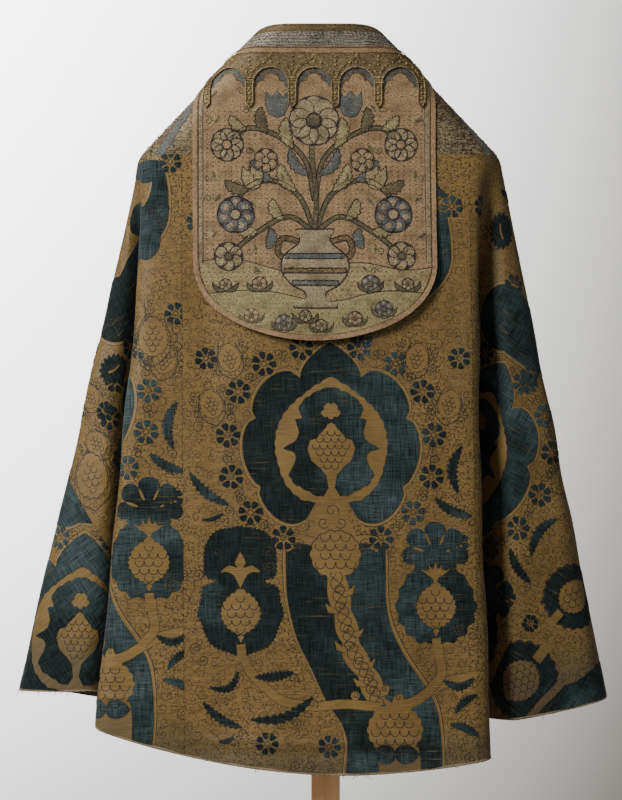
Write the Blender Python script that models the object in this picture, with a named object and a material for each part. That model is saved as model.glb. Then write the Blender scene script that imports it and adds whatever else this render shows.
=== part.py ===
"""Cope vestment hung on a wooden stand, seen from the wearer's back.

The cope is a half circle of voided velvet with an embroidered orphrey along its straight edge and a
shield-shaped hood on the back. Every cloth piece is drawn on the flat cut and carried to its hung place by
one Drape. The flat cut has u across, to the right as the back is seen, and v down from the straight edge.

Frame: metres, +Z up, origin under the middle of the stand's base. The wearer's back faces -Y.
"""

import math

import bmesh
import bpy
import numpy as np
from mathutils import Vector
from mathutils.geometry import delaunay_2d_cdt

# The cut
TOP_Z = 1.626  # neck edge at the back
RADIUS = 1.428  # half circle, straight edge to hem
ORPHREY = 0.250  # width of the embroidered band along the straight edge
CENTRE_SEAM = 0.275  # half a loom width
SIDE_SEAM = 0.847  # one loom width further out
SHOULDER_JOIN = 0.345  # where the back orphrey meets the two front ones

# The hang over the sloping arms
SLOPE = math.radians(46.5)
ROLL = 0.040  # radius of the cloth's roll over an arm
NECK_HALF = 0.054  # where the level neck edge begins to roll over
YOKE_DEPTH = 0.255  # below this the cloth leaves the arm and falls free
CLOTH_SHIFT = 0.013  # the cloth's middle hangs this far right of the stand's

# The wall and its layers, measured outwards from the cloth's face
VELVET_WALL = 0.0016
LINING_GAP = 0.0004
LINING_WALL = 0.0010
SEAM = 0.0003
REST = 0.0003
BRAID_WALL = 0.0012
HOOD_WALL = 0.0020
HOOD_EDGE_WALL = 0.0032
HOOD_LIFT = 0.012  # how far the hood's tip stands off the back

# Braids along the neck, and the hood under them
GALLOON = 0.0155
NECK_BAND = 0.0435
HOOD_CENTRE = -0.0225
HOOD_HALF = 0.232
HOOD_STRAIGHT = 0.455  # depth at which the straight sides begin to round
HOOD_TIP = 0.607
HOOD_EDGE = 0.009

# Raised arcade across the top of the hood
ARCADE_TOP = 0.056
ARCADE_SPRING = 0.118
ARCADE_FOOT = 0.152
ARCADE_BAYS = 5
ARCADE_HALF = 0.205
COLUMN_HALF = 0.0065
ARCADE_WALL = 0.0016
ARCADE_REST = 0.0010
ARCADE_STEP = 0.010

# The stand
BASE_SIDE = 0.500
BASE_THICK = 0.030
POST_SIDE = 0.040
POST_TURN = math.radians(37)
POST_X = 0.013
ARM_RADIUS = 0.0336
ARM_REACH = 0.300  # along the slope
RAIL_BEND = 0.100  # along the slope, where the arm turns level under the neck
STAND_GAP = 0.0003

# The folds at the hem in plan, from the left front edge round the back to the right front edge. The hem runs
# round each fold's circle like a belt: outside a crest's circle and inside a valley's. Longer is how much the
# worn cloth hangs below its cut there, most along the diagonals, where velvet stretches.
CREST, VALLEY = 1, -1
HEM_FOLDS = (
    # name, x, y, radius, kind, longer
    ("left front edge", -0.046, 0.226, 0.000, CREST, 0.000),
    ("left orphrey crest", -0.262, 0.230, 0.024, CREST, 0.000),
    ("left front valley", -0.294, 0.190, 0.016, VALLEY, 0.006),
    ("left front crest", -0.366, 0.228, 0.030, CREST, 0.016),
    ("left side valley", -0.404, 0.118, 0.022, VALLEY, 0.068),
    ("left lobe front", -0.512, 0.152, 0.036, CREST, 0.094),
    ("left lobe tip", -0.542, 0.030, 0.040, CREST, 0.064),
    ("left lobe back", -0.450, 0.006, 0.032, CREST, 0.030),
    ("left back valley", -0.240, 0.158, 0.028, VALLEY, 0.000),
    ("left back crest", -0.404, -0.070, 0.024, CREST, -0.016),
    ("middle of the back", 0.020, 0.292, 0.400, CREST, 0.000),
    ("right back crest", 0.307, -0.072, 0.022, CREST, 0.004),
    ("right back valley", 0.156, 0.158, 0.028, VALLEY, 0.020),
    ("right lobe back", 0.388, 0.004, 0.034, CREST, 0.052),
    ("right lobe tip", 0.518, 0.030, 0.040, CREST, 0.050),
    ("right lobe front", 0.488, 0.168, 0.036, CREST, 0.045),
    ("right side valley", 0.380, 0.098, 0.022, VALLEY, 0.030),
    ("right front crest", 0.358, 0.242, 0.032, CREST, 0.016),
    ("right front valley", 0.280, 0.188, 0.016, VALLEY, 0.006),
    ("right orphrey crest", 0.252, 0.234, 0.024, CREST, 0.000),
    ("right front edge", 0.042, 0.228, 0.000, CREST, 0.000),
)

# How the hem's angle round the half circle meets the arms: the fold crests run up to the edge of the back,
# and the rest of each side fans out of the roll over the arm's end.
CREST_ROLL = {"left back crest": 0.030, "right back crest": 0.006}
FAN_END = math.radians(83.2)

# Points of the mesh
CELL = 0.005
GRID_MARGIN = 0.120
SMOOTHING = 10
FOLD_ROWS = (0.84, 0.64, 0.45, 0.29, 0.17, 0.08, 0.02)  # shares of the way from the arms to the hem
ARC_STEPS = 4
FLAT_STEP = 0.130
ROLL_STEPS = 11
ROLL_ROW = 0.062
ROLL_STEP = 0.0165
POINT_GAP = 0.020
LINE_GAP = 0.012
EDGE_GAP = 0.005


def unit(vector):
    return vector / np.linalg.norm(vector)


def heading(angle):
    return np.array([math.cos(angle), math.sin(angle)])


def rounded_hem():
    """The hem in plan as a belt round its folds: points, distances along it, mesh stations and fold places."""
    names = [row[0] for row in HEM_FOLDS]
    centres = [np.array(row[1:3]) for row in HEM_FOLDS]
    radii = [row[3] * row[4] for row in HEM_FOLDS]
    headings = []
    for start, end, r1, r2 in zip(centres, centres[1:], radii, radii[1:]):
        across = end - start
        headings.append(math.atan2(across[1], across[0]) - math.asin((r2 - r1) / np.linalg.norm(across)))
    points, stations, marks = [centres[0]], [0], {names[0]: 0}
    for name, centre, radius, before, after in zip(names[1:], centres[1:], radii[1:], headings, headings[1:]):
        turn = (after - before + math.pi) % (2 * math.pi) - math.pi
        if turn * radius < 0:
            turn += math.copysign(2 * math.pi, radius)
        fine = 4 * ARC_STEPS
        for step in range(fine + 1):
            away = heading(before + turn * step / fine - math.pi / 2)
            if step % 4 == 0 and abs(turn) > 0.4:
                stations.append(len(points))
            if step == fine // 2:
                marks[name] = len(points)
            points.append(centre + radius * away)
    marks[names[-1]] = len(points)
    stations.append(len(points))
    points = np.array(points + [centres[-1]])
    along = np.concatenate([[0], np.cumsum(np.linalg.norm(np.diff(points, axis=0), axis=1))])
    return points, along, along[stations], {name: along[n] for name, n in marks.items()}


class Drape:
    """Carries points of the flat cut to their place on the stand, by a table of the hung cloth."""

    def __init__(self):
        self.fan_table()
        across = RADIUS + GRID_MARGIN
        self.u0, self.v0 = -across, -GRID_MARGIN
        us = np.arange(self.u0, across, CELL)
        vs = np.arange(self.v0, across, CELL)
        u, v = np.meshgrid(us, vs, indexing="ij")
        table = self.exact(u, v)
        for _ in range(SMOOTHING):
            for axis in (0, 1):
                padded = np.pad(table, [(1, 1) if a == axis else (0, 0) for a in range(3)], "edge")
                low, mid, high = (
                    np.take(padded, np.arange(n, n + table.shape[axis]), axis) for n in range(3)
                )
                table = (low + 2 * mid + high) / 4
        face = np.cross(np.gradient(table, axis=1), np.gradient(table, axis=0))
        self.table = np.dstack([table, face / np.linalg.norm(face, axis=2, keepdims=True)])

    def roll(self, u, v):
        """Place of a flat point on the back, on the roll over an arm, or in front of it."""
        side = np.where(u + CLOTH_SHIFT < 0, -1, 1)
        out = side * (u + CLOTH_SHIFT) - NECK_HALF
        c, s = math.cos(SLOPE), math.sin(SLOPE)
        return self.on_roll(side, out * c + v * s, out * s - v * c)

    def on_roll(self, side, down, round_arm):
        """Place from the distance down the arm and the distance round it, from the line where it starts."""
        half_turn = math.pi * ROLL
        angle = np.clip(round_arm / ROLL, 0, math.pi)
        out = ROLL * np.sin(angle) + np.minimum(round_arm, 0) - np.maximum(round_arm - half_turn, 0)
        x = NECK_HALF + down * math.cos(SLOPE) + out * math.sin(SLOPE)
        z = TOP_Z - (down * math.sin(SLOPE) - out * math.cos(SLOPE))
        return np.stack([side * x, -ROLL * np.cos(angle), z], axis=-1)

    def ring(self, along):
        """Flat point and place where the cloth leaves the arms, from the distance along that line."""
        side = np.where(along < 0, -1, 1)
        c, s = math.cos(SLOPE), math.sin(SLOPE)
        back_half = NECK_HALF + YOKE_DEPTH * c / s
        beyond = np.abs(along) - back_half
        round_arm = np.where(beyond < 0, beyond * s, beyond)
        angle = np.clip(round_arm / ROLL, 0, math.pi)
        out = ROLL * np.sin(angle) + np.minimum(round_arm, 0) - np.maximum(round_arm - math.pi * ROLL, 0)
        down = (YOKE_DEPTH + out * c) / s
        u = side * (NECK_HALF + down * c + round_arm * s) - CLOTH_SHIFT
        return np.stack([u, down * s - round_arm * c], axis=-1), self.on_roll(side, down, round_arm)

    def fan_table(self):
        """Straight lines of the falling cloth, from the arms to the hem, one for each angle of the cut."""
        plan, along, stations, marks = rounded_hem()
        to_angle = lambda distance: (distance / along[-1] - 0.5) * math.pi
        self.stations = to_angle(stations)
        self.angles = np.radians(np.arange(-97, 97.01, 0.25))
        back_half = NECK_HALF + YOKE_DEPTH / math.tan(SLOPE)
        edge = back_half + (YOKE_DEPTH / math.cos(SLOPE) + math.pi * ROLL) / 2
        fan = back_half + math.pi * ROLL
        left, right = "left back crest", "right back crest"
        tie_angles = [-math.pi / 2, -FAN_END, to_angle(marks[left]), to_angle(marks[right]), FAN_END, math.pi / 2]
        tie_along = [-edge, -fan, -back_half - CREST_ROLL[left], back_half + CREST_ROLL[right], fan, edge]
        slope = (edge - fan) / (math.pi / 2 - FAN_END)
        tie_angles = [-2.0] + tie_angles + [2.0]
        tie_along = [-edge - (2 - math.pi / 2) * slope] + tie_along + [edge + (2 - math.pi / 2) * slope]
        ring_along = np.interp(self.angles, tie_angles, tie_along)
        ring_along[12:-12] = np.convolve(ring_along, np.ones(25) / 25, "valid")
        self.top_flat, self.top = self.ring(ring_along)
        self.fold_angles = np.array([to_angle(marks[row[0]]) for row in HEM_FOLDS])
        self.hem_flat = self.hem_point(self.angles)
        distance = (self.angles / math.pi + 0.5) * along[-1]
        hem = np.stack([np.interp(distance, along, plan[:, axis]) for axis in (0, 1)], axis=-1)
        for beyond, end, inner in (
            (distance.clip(max=0), plan[0], plan[1]),
            ((along[-1] - distance).clip(max=0), plan[-1], plan[-2]),
        ):
            hem += beyond[:, None] * unit(inner - end)
        length = np.linalg.norm(self.hem_flat - self.top_flat, axis=1)
        level = np.linalg.norm(hem - self.top[:, :2], axis=1)
        drop = np.sqrt(length**2 - level**2)
        self.hem = np.column_stack([hem, self.top[:, 2] - drop])

    def hem_point(self, angle):
        """Point of the flat cut's hem at an angle from the cloth's middle."""
        reach = RADIUS + np.interp(angle, self.fold_angles, [row[5] for row in HEM_FOLDS])
        return np.stack([reach * np.sin(angle), reach * np.cos(angle)], axis=-1)

    def along_fan(self, table, angle):
        return np.stack([np.interp(angle, self.angles, column) for column in table.T], axis=-1)

    def exact(self, u, v):
        """The unsmoothed place: on the arms above the fan's start, on the fan below it."""
        low = np.full(u.shape, self.angles[0])
        high = np.full(u.shape, self.angles[-1])
        point = np.stack([u, v], axis=-1)
        for _ in range(26):
            angle = (low + high) / 2
            top = self.along_fan(self.top_flat, angle)
            line = self.along_fan(self.hem_flat, angle) - top
            step = point - top
            past = line[..., 0] * step[..., 1] - line[..., 1] * step[..., 0] > 0
            high, low = np.where(past, angle, high), np.where(past, low, angle)
        share = (step * line).sum(-1) / (line * line).sum(-1)
        start = self.along_fan(self.top, angle)
        fallen = start + share[..., None] * (self.along_fan(self.hem, angle) - start)
        return np.where(share[..., None] > 0, fallen, self.roll(u, v))

    def place(self, points, lift=0.0):
        """Places of flat points, lifted off the cloth's face by a number or by one number for each."""
        u, v = points[:, 0], points[:, 1]
        column = (u - self.u0) / CELL
        row = (v - self.v0) / CELL
        i = np.clip(column.astype(int), 0, self.table.shape[0] - 2)
        j = np.clip(row.astype(int), 0, self.table.shape[1] - 2)
        a, b = (column - i)[:, None], (row - j)[:, None]
        t = self.table
        found = (t[i, j] * (1 - a) + t[i + 1, j] * a) * (1 - b) + (t[i, j + 1] * (1 - a) + t[i + 1, j + 1] * a) * b
        normal = found[:, 3:] / np.linalg.norm(found[:, 3:], axis=1, keepdims=True)
        return found[:, :3] + np.broadcast_to(lift, u.shape)[:, None] * normal


def line(start, end, step):
    count = max(1, round(math.dist(start, end) / step))
    return [tuple(np.array(start) + (np.array(end) - start) * n / count) for n in range(count + 1)]


def straight_edge():
    """Points along the straight edge, close together where it rolls over the arms."""
    outer = line((-RADIUS, 0), (-0.40, 0), 0.070)
    rolled = line((-0.40, 0), (-0.04, 0), ROLL_STEP)
    middle = line((-0.04, 0), (0.02, 0), 0.030)
    right = [(-u - 2 * CLOTH_SHIFT, v) for u, v in reversed(rolled)]
    end = line(right[-1], (RADIUS, 0), 0.070)
    return outer + rolled[1:] + middle[1:-1] + right + end[1:]


def hem_line(drape):
    """Angles and points along the hem, at the folds' stations and between them where they lie far apart."""
    angles = [drape.stations[0]]
    for station in drape.stations[1:]:
        count = math.ceil((station - angles[-1]) * RADIUS / FLAT_STEP)
        angles += list(np.linspace(angles[-1], station, count + 1)[1:])
    points = drape.hem_point(np.array(angles))
    points[[0, -1], 1] = 0
    return np.array(angles), [tuple(point) for point in points]


def hood_outline(inset):
    """The hood's two sides and its rounded foot, from the top left down and round to the top right."""
    half, tip = HOOD_HALF - inset, HOOD_TIP - inset
    left = line((-half, NECK_BAND), (-half, 0.21), ROLL_STEP) + line((-half, 0.21), (-half, HOOD_STRAIGHT), 0.06)[1:]
    foot = []
    for step in range(1, 20):
        angle = math.pi * step / 20
        foot.append((-half * math.cos(angle), HOOD_STRAIGHT + (tip - HOOD_STRAIGHT) * math.sin(angle) ** 0.92))
    right = [(-u, v) for u, v in reversed(left)]
    return [(u + HOOD_CENTRE, v) for u, v in left + foot + right]


def seam_lines():
    """Lines that the pieces meet along: the orphrey, the seams, the braids and the hood's two outlines."""
    past_hem = RADIUS + GRID_MARGIN / 2
    stops = (-past_hem, -0.46, -0.25, 0.23, 0.44, past_hem)
    steps = (0.055, ROLL_STEP, 0.060, ROLL_STEP, 0.055)
    orphrey_line = [(-past_hem, ORPHREY)]
    for start, end, step in zip(stops, stops[1:], steps):
        orphrey_line += line((start, ORPHREY), (end, ORPHREY), step)[1:]
    lines = [orphrey_line, hood_outline(0), hood_outline(HOOD_EDGE)]
    for side in (-1, 1):
        for u, step in ((side * CENTRE_SEAM, 0.060), (side * SIDE_SEAM, 0.040)):
            lines.append(line((u, ORPHREY), (u, past_hem), step))
        lines.append(line((side * SHOULDER_JOIN, 0), (side * SHOULDER_JOIN, ORPHREY), ROLL_STEP))
    for depth in (GALLOON, NECK_BAND):
        lines.append(line((-SHOULDER_JOIN, depth), (SHOULDER_JOIN, depth), ROLL_STEP))
    return lines


def roll_lines():
    """Lines down the roll over each arm, one for each step of its turn, from the neck edge to the free cloth."""
    c, s = math.cos(SLOPE), math.sin(SLOPE)
    lines = []
    for side in (-1, 1):
        for turn in range(-1, ROLL_STEPS + 3):
            round_arm = turn * math.pi * ROLL / (ROLL_STEPS - 1)
            out = ROLL * math.sin(min(max(round_arm / ROLL, 0), math.pi)) - max(0, round_arm - math.pi * ROLL)
            end = (YOKE_DEPTH + out * c) / s - 0.012
            downs = [down for down in np.arange(0.0, 0.6, ROLL_ROW) if down < end - 0.02] + [end]
            across = [side * (NECK_HALF + down * c + round_arm * s) - CLOTH_SHIFT for down in downs]
            lines.append([(u, down * s - round_arm * c) for u, down in zip(across, downs)])
    return lines


def far_enough(point, kept, gap):
    return np.hypot(*(np.array(kept) - point).T).min() >= gap


def flat_mesh(drape):
    """One triangulation of the whole cut, whose edges follow the seams, the roll and the folds."""
    angles, hem = hem_line(drape)
    points, edges = [], []
    for each in [hem, straight_edge()] + seam_lines():
        edges += [(len(points) + n, len(points) + n + 1) for n in range(len(each) - 1)]
        points += each
    on_cut = lambda p: p[1] > EDGE_GAP and math.hypot(*p) < RADIUS - 2 * LINE_GAP
    for guide in roll_lines():
        last = None
        for point in filter(on_cut, guide):
            if not far_enough(point, points, EDGE_GAP):
                continue
            if last is not None:
                edges.append((last, len(points)))
            last = len(points)
            points.append(point)
    tops = drape.along_fan(drape.top_flat, angles)
    lowest = {n: n for n in range(len(hem))}
    for share in FOLD_ROWS:
        for n, (top, foot) in enumerate(zip(tops, hem)):
            point = tuple(top + share * (np.array(foot) - top))
            if on_cut(point) and far_enough(point, points, LINE_GAP if share > 0.6 else POINT_GAP):
                edges.append((lowest[n], len(points)))
                lowest[n] = len(points)
                points.append(point)
    flat, faces = faces_up(delaunay_2d_cdt([Vector(p) for p in points], edges, [], 0, 1e-6))
    return flat, faces[inside(flat[faces].mean(axis=1), hem)]


def faces_up(result):
    """Points and triangles of a flat triangulation, all turned the same way, without empty triangles."""
    flat = np.array([(p.x, p.y) for p in result[0]])
    faces = np.array([f for f in result[2]])
    a, b, c = (flat[faces[:, n]] for n in range(3))
    area = np.cross(b - a, c - a)
    faces[area < 0] = faces[area < 0][:, ::-1]
    return flat, faces[np.abs(area) > 1e-8]


def inside(points, outline):
    """Which points lie inside a closed outline, by counting the sides that cross the way right of them."""
    found = np.zeros(len(points), bool)
    for (u1, v1), (u2, v2) in zip(outline, outline[1:] + outline[:1]):
        spans = (v1 > points[:, 1]) != (v2 > points[:, 1])
        if spans.any():
            found ^= spans & (points[:, 0] < u1 + (points[:, 1] - v1) * (u2 - u1) / (v2 - v1))
    return found


def hood_lift(points):
    """How far the hood stands off the back: nothing at its top, most at its tip."""
    share = np.clip((points[:, 1] - 0.28) / (HOOD_TIP - 0.28), 0, 1)
    return REST + HOOD_LIFT * share * share * (3 - 2 * share)


def material(name, colour, roughness, metallic=0.0):
    made = bpy.data.materials.new(name)
    made.use_nodes = True
    shader = made.node_tree.nodes["Principled BSDF"]
    shader.inputs["Base Color"].default_value = (*colour, 1)
    shader.inputs["Roughness"].default_value = roughness
    shader.inputs["Metallic"].default_value = metallic
    made.diffuse_color = (*colour, 1)
    return made


def finish(name, mesh, collection, finish_material):
    made = bpy.data.objects.new(name, mesh)
    collection.objects.link(made)
    mesh.materials.append(finish_material)
    mesh.shade_smooth()
    mesh.set_sharp_from_angle(angle=math.radians(40))
    return made


def cloth_wall(name, drape, flat, faces, inner, outer, collection, finish_material):
    """A closed wall over some faces of the flat mesh. Inner and outer are its lifts off the cloth's face."""
    used, local = np.unique(faces, return_inverse=True)
    local = local.reshape(faces.shape)
    points = flat[used].copy()
    ends = np.concatenate([local[:, [0, 1]], local[:, [1, 2]], local[:, [2, 0]]])
    pairs = {tuple(pair) for pair in ends.tolist()}
    rim = [pair for pair in pairs if pair[::-1] not in pairs]
    inward = np.zeros_like(points)
    for a, b in rim:
        ahead = unit(points[b] - points[a])
        inward[[a, b]] += (-ahead[1], ahead[0])
    at_rim = np.linalg.norm(inward, axis=1) > 1e-9
    square = (inward[at_rim] ** 2).sum(axis=1, keepdims=True)
    points[at_rim] += SEAM / 2 * 2 * inward[at_rim] / np.maximum(square, 0.8)
    lifts = [value(points) if callable(value) else value for value in (outer, inner)]
    places = np.concatenate([drape.place(points, lift) for lift in lifts])
    count = len(points)
    walls = [tuple(f[::-1]) for f in local.tolist()] + [tuple(n + count for n in f) for f in local.tolist()]
    for a, b in rim:
        # Neighbours at a seam split their facing rims along the same diagonal, so neither bulges into the other.
        a_in, b_in = a + count, b + count
        walls += [(a, b, b_in), (a, b_in, a_in)] if used[a] < used[b] else [(a, b, a_in), (b, b_in, a_in)]
    mesh = bpy.data.meshes.new(name)
    mesh.from_pydata(places.tolist(), [], walls)
    return finish(name, mesh, collection, finish_material)


def arcade_outline():
    """Columns and round arch heads hanging from a straight top, across the hood."""
    bay = 2 * ARCADE_HALF / ARCADE_BAYS
    radius = bay / 2 - COLUMN_HALF
    points = line((ARCADE_HALF + COLUMN_HALF, ARCADE_TOP), (-ARCADE_HALF - COLUMN_HALF, ARCADE_TOP), 0.012)
    for n in range(ARCADE_BAYS + 1):
        foot = -ARCADE_HALF + n * bay
        left, right = foot - COLUMN_HALF, foot + COLUMN_HALF
        if n == 0:
            points += line((left, ARCADE_TOP), (left, ARCADE_FOOT), 0.020)[1:]
        else:
            points += line((left, ARCADE_SPRING), (left, ARCADE_FOOT), 0.020)[1:]
        points.append((foot, ARCADE_FOOT + 0.008))
        if n == ARCADE_BAYS:
            points += line((right, ARCADE_FOOT), (right, ARCADE_TOP), 0.020)[:-1]
            continue
        points += line((right, ARCADE_FOOT), (right, ARCADE_SPRING), 0.020)
        for step in range(1, 8):
            angle = math.pi * step / 8
            points.append((foot + bay / 2 - radius * math.cos(angle), ARCADE_SPRING - radius * math.sin(angle)))
        points.append((foot + bay - COLUMN_HALF, ARCADE_SPRING))
    return [(u + HOOD_CENTRE, v) for u, v in points]


def arcade(drape, collection, finish_material):
    outline = arcade_outline()
    across = np.arange(-ARCADE_HALF, ARCADE_HALF + 0.001, ARCADE_STEP) + HOOD_CENTRE
    middle = [(u, v) for v in np.arange(ARCADE_TOP + 0.006, ARCADE_SPRING, ARCADE_STEP) for u in across]
    count = len(outline)
    points = outline + [p for p in middle if far_enough(p, outline, EDGE_GAP)]
    flat, faces = faces_up(delaunay_2d_cdt([Vector(p) for p in points], [], [list(range(count))], 1, 1e-6))
    low = HOOD_WALL + ARCADE_REST
    return cloth_wall("hood_arcade", drape, flat, faces, REST + low, REST + low + ARCADE_WALL, collection, finish_material)


def box(name, sides, centre, turn, bevel, collection, finish_material):
    made_mesh = bpy.data.meshes.new(name)
    form = bmesh.new()
    bmesh.ops.create_cube(form, size=1)
    bmesh.ops.scale(form, vec=Vector(sides), verts=form.verts)
    bmesh.ops.bevel(form, geom=form.edges[:], offset=bevel, segments=2, affect="EDGES", profile=0.7)
    form.to_mesh(made_mesh)
    form.free()
    made = finish(name, made_mesh, collection, finish_material)
    made.location = centre
    made.rotation_euler = (0, 0, turn)
    return made


def yoke(collection, finish_material):
    """The bent round rail: level under the neck, sloping down under each shoulder."""
    c, s = math.cos(SLOPE), math.sin(SLOPE)
    down = lambda along: (NECK_HALF + along * c, TOP_Z - along * s)
    end, bend = down(ARM_REACH), down(RAIL_BEND)
    curve = bpy.data.curves.new("stand_yoke", "CURVE")
    curve.dimensions = "3D"
    curve.bevel_depth = ARM_RADIUS
    curve.bevel_resolution = 6
    curve.use_fill_caps = True
    route = [(-end[0], end[1])]
    corner_steps = 6
    for side, first in ((-1, 1), (1, 0)):
        before = np.array([side * bend[0], bend[1]])
        arm = unit(np.array([side * (end[0] - bend[0]), end[1] - bend[1]]))
        level = np.array([-side, 0.0])
        soft = 0.05
        ends = (before + arm * soft, before + level * soft) if first else (before + level * soft, before + arm * soft)
        for step in range(corner_steps + 1):
            t = step / corner_steps
            route.append(tuple((1 - t) ** 2 * ends[0] + 2 * t * (1 - t) * before + t * t * ends[1]))
    route.append((end[0], end[1]))
    spline = curve.splines.new("POLY")
    spline.points.add(len(route) - 1)
    for point, (x, z) in zip(spline.points, route):
        point.co = (x, 0, z, 1)
    made = bpy.data.objects.new("stand_yoke", curve)
    collection.objects.link(made)
    curve.materials.append(finish_material)
    return made, bend[1]


def main():
    for old in list(bpy.data.objects):
        bpy.data.objects.remove(old, do_unlink=True)
    collection = bpy.data.collections.new("cope_vestment")
    bpy.context.scene.collection.children.link(collection)

    velvet = material("voided_velvet", (0.20, 0.21, 0.15), 0.62)
    gold_work = material("gold_embroidery", (0.34, 0.25, 0.12), 0.50, 0.2)
    silver_band = material("silver_braid", (0.24, 0.27, 0.26), 0.50, 0.2)
    hood_ground = material("hood_silk", (0.33, 0.20, 0.13), 0.65)
    edging = material("hood_edging_silk", (0.50, 0.27, 0.19), 0.60)
    linen = material("brown_lining", (0.16, 0.11, 0.07), 0.85)
    pine = material("pine_wood", (0.55, 0.38, 0.18), 0.55)

    drape = Drape()
    flat, faces = flat_mesh(drape)
    middle = flat[faces].mean(axis=1)
    u, v = middle[:, 0], middle[:, 1]
    orphrey = v < ORPHREY
    back = np.abs(u) < SHOULDER_JOIN
    centre, outer = np.abs(u) < CENTRE_SEAM, np.abs(u) > SIDE_SEAM

    def wall(name, chosen, inner, face, finish_material):
        return cloth_wall(name, drape, flat, faces[chosen], inner, face, collection, finish_material)

    wall("velvet_centre", ~orphrey & centre, -VELVET_WALL, 0, velvet)
    for side, here in (("left", u < 0), ("right", u > 0)):
        wall(f"velvet_inner_{side}", ~orphrey & ~centre & ~outer & here, -VELVET_WALL, 0, velvet)
        wall(f"velvet_outer_{side}", ~orphrey & outer & here, -VELVET_WALL, 0, velvet)
        wall(f"orphrey_front_{side}", orphrey & ~back & here, -VELVET_WALL, 0, gold_work)
    wall("orphrey_back", orphrey & back, -VELVET_WALL, 0, gold_work)
    lining_face = -VELVET_WALL - LINING_GAP
    wall("lining", v > 0, lining_face - LINING_WALL, lining_face, linen)
    wall("neck_galloon", back & (v < GALLOON), REST, REST + BRAID_WALL, gold_work)
    wall("neck_band", back & (v > GALLOON) & (v < NECK_BAND), REST, REST + BRAID_WALL, silver_band)
    in_hood, in_panel = inside(middle, hood_outline(0)), inside(middle, hood_outline(HOOD_EDGE))
    wall("hood_panel", in_panel, hood_lift, lambda p: hood_lift(p) + HOOD_WALL, hood_ground)
    wall("hood_edging", in_hood & ~in_panel, hood_lift, lambda p: hood_lift(p) + HOOD_EDGE_WALL, edging)
    arcade(drape, collection, gold_work)

    _, rail_z = yoke(collection, pine)
    post_foot, post_head = BASE_THICK + STAND_GAP, rail_z - ARM_RADIUS - STAND_GAP
    box("stand_base", (BASE_SIDE, BASE_SIDE, BASE_THICK), (0, 0, BASE_THICK / 2), 0, 0.005, collection, pine)
    box("stand_post", (POST_SIDE, POST_SIDE, post_head - post_foot), (POST_X, 0, (post_foot + post_head) / 2),
        POST_TURN, 0.002, collection, pine)


main()
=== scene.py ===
import math

import bpy
import numpy as np
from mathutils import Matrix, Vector
from mathutils.geometry import delaunay_2d_cdt


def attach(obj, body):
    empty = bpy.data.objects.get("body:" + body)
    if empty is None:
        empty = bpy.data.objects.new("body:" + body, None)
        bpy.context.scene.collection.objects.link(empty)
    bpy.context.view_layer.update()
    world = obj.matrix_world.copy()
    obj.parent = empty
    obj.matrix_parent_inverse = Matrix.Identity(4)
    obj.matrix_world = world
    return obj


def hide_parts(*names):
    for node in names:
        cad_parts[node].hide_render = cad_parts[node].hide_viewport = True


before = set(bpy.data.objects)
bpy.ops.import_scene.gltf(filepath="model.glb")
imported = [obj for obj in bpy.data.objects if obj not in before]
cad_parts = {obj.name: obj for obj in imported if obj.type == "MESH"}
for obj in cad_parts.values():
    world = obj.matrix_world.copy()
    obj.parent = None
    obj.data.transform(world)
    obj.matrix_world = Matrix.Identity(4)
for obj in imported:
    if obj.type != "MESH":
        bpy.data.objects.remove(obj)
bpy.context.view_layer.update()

# The flat cut, in metres: u runs right as the back is seen, v down from the straight edge
cut = {"topZ": 1.626, "radius": 1.428, "orphrey": 0.25, "centreSeam": 0.275, "sideSeam": 0.847, "join": 0.345}
hang = {"slope": math.radians(46.5), "roll": 0.04, "neckHalf": 0.054, "depth": 0.255, "shift": 0.013,
        "fanEnd": math.radians(83.2), "cell": 0.005, "margin": 0.12, "smoothing": 10}
layer = {"velvet": 0.0016, "liningGap": 0.0004, "lining": 0.001, "seam": 0.0003, "rest": 0.0003,
         "braid": 0.0012, "hood": 0.002, "hoodEdge": 0.0032, "pile": 0.0009, "applied": 0.0007}

# Folds at the hem in plan: x, y, radius, crest 1 or valley -1, how far it hangs below its cut
hemFolds = (
    (-0.046, 0.226, 0.0, 1, 0.0),
    (-0.262, 0.23, 0.024, 1, 0.0),
    (-0.294, 0.19, 0.016, -1, 0.006),
    (-0.366, 0.228, 0.03, 1, 0.016),
    (-0.404, 0.118, 0.022, -1, 0.068),
    (-0.512, 0.152, 0.036, 1, 0.094),
    (-0.542, 0.03, 0.04, 1, 0.064),
    (-0.45, 0.006, 0.032, 1, 0.03),
    (-0.24, 0.158, 0.028, -1, 0.0),
    (-0.404, -0.07, 0.024, 1, -0.016),
    (0.02, 0.292, 0.4, 1, 0.0),
    (0.307, -0.072, 0.022, 1, 0.004),
    (0.156, 0.158, 0.028, -1, 0.02),
    (0.388, 0.004, 0.034, 1, 0.052),
    (0.518, 0.03, 0.04, 1, 0.05),
    (0.488, 0.168, 0.036, 1, 0.045),
    (0.38, 0.098, 0.022, -1, 0.03),
    (0.358, 0.242, 0.032, 1, 0.016),
    (0.28, 0.188, 0.016, -1, 0.006),
    (0.252, 0.234, 0.024, 1, 0.0),
    (0.042, 0.228, 0.0, 1, 0.0),
)
backCrests = {9: 0.03, 11: 0.006}  # row of the fold, how far past the arm's line its crest starts

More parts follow.
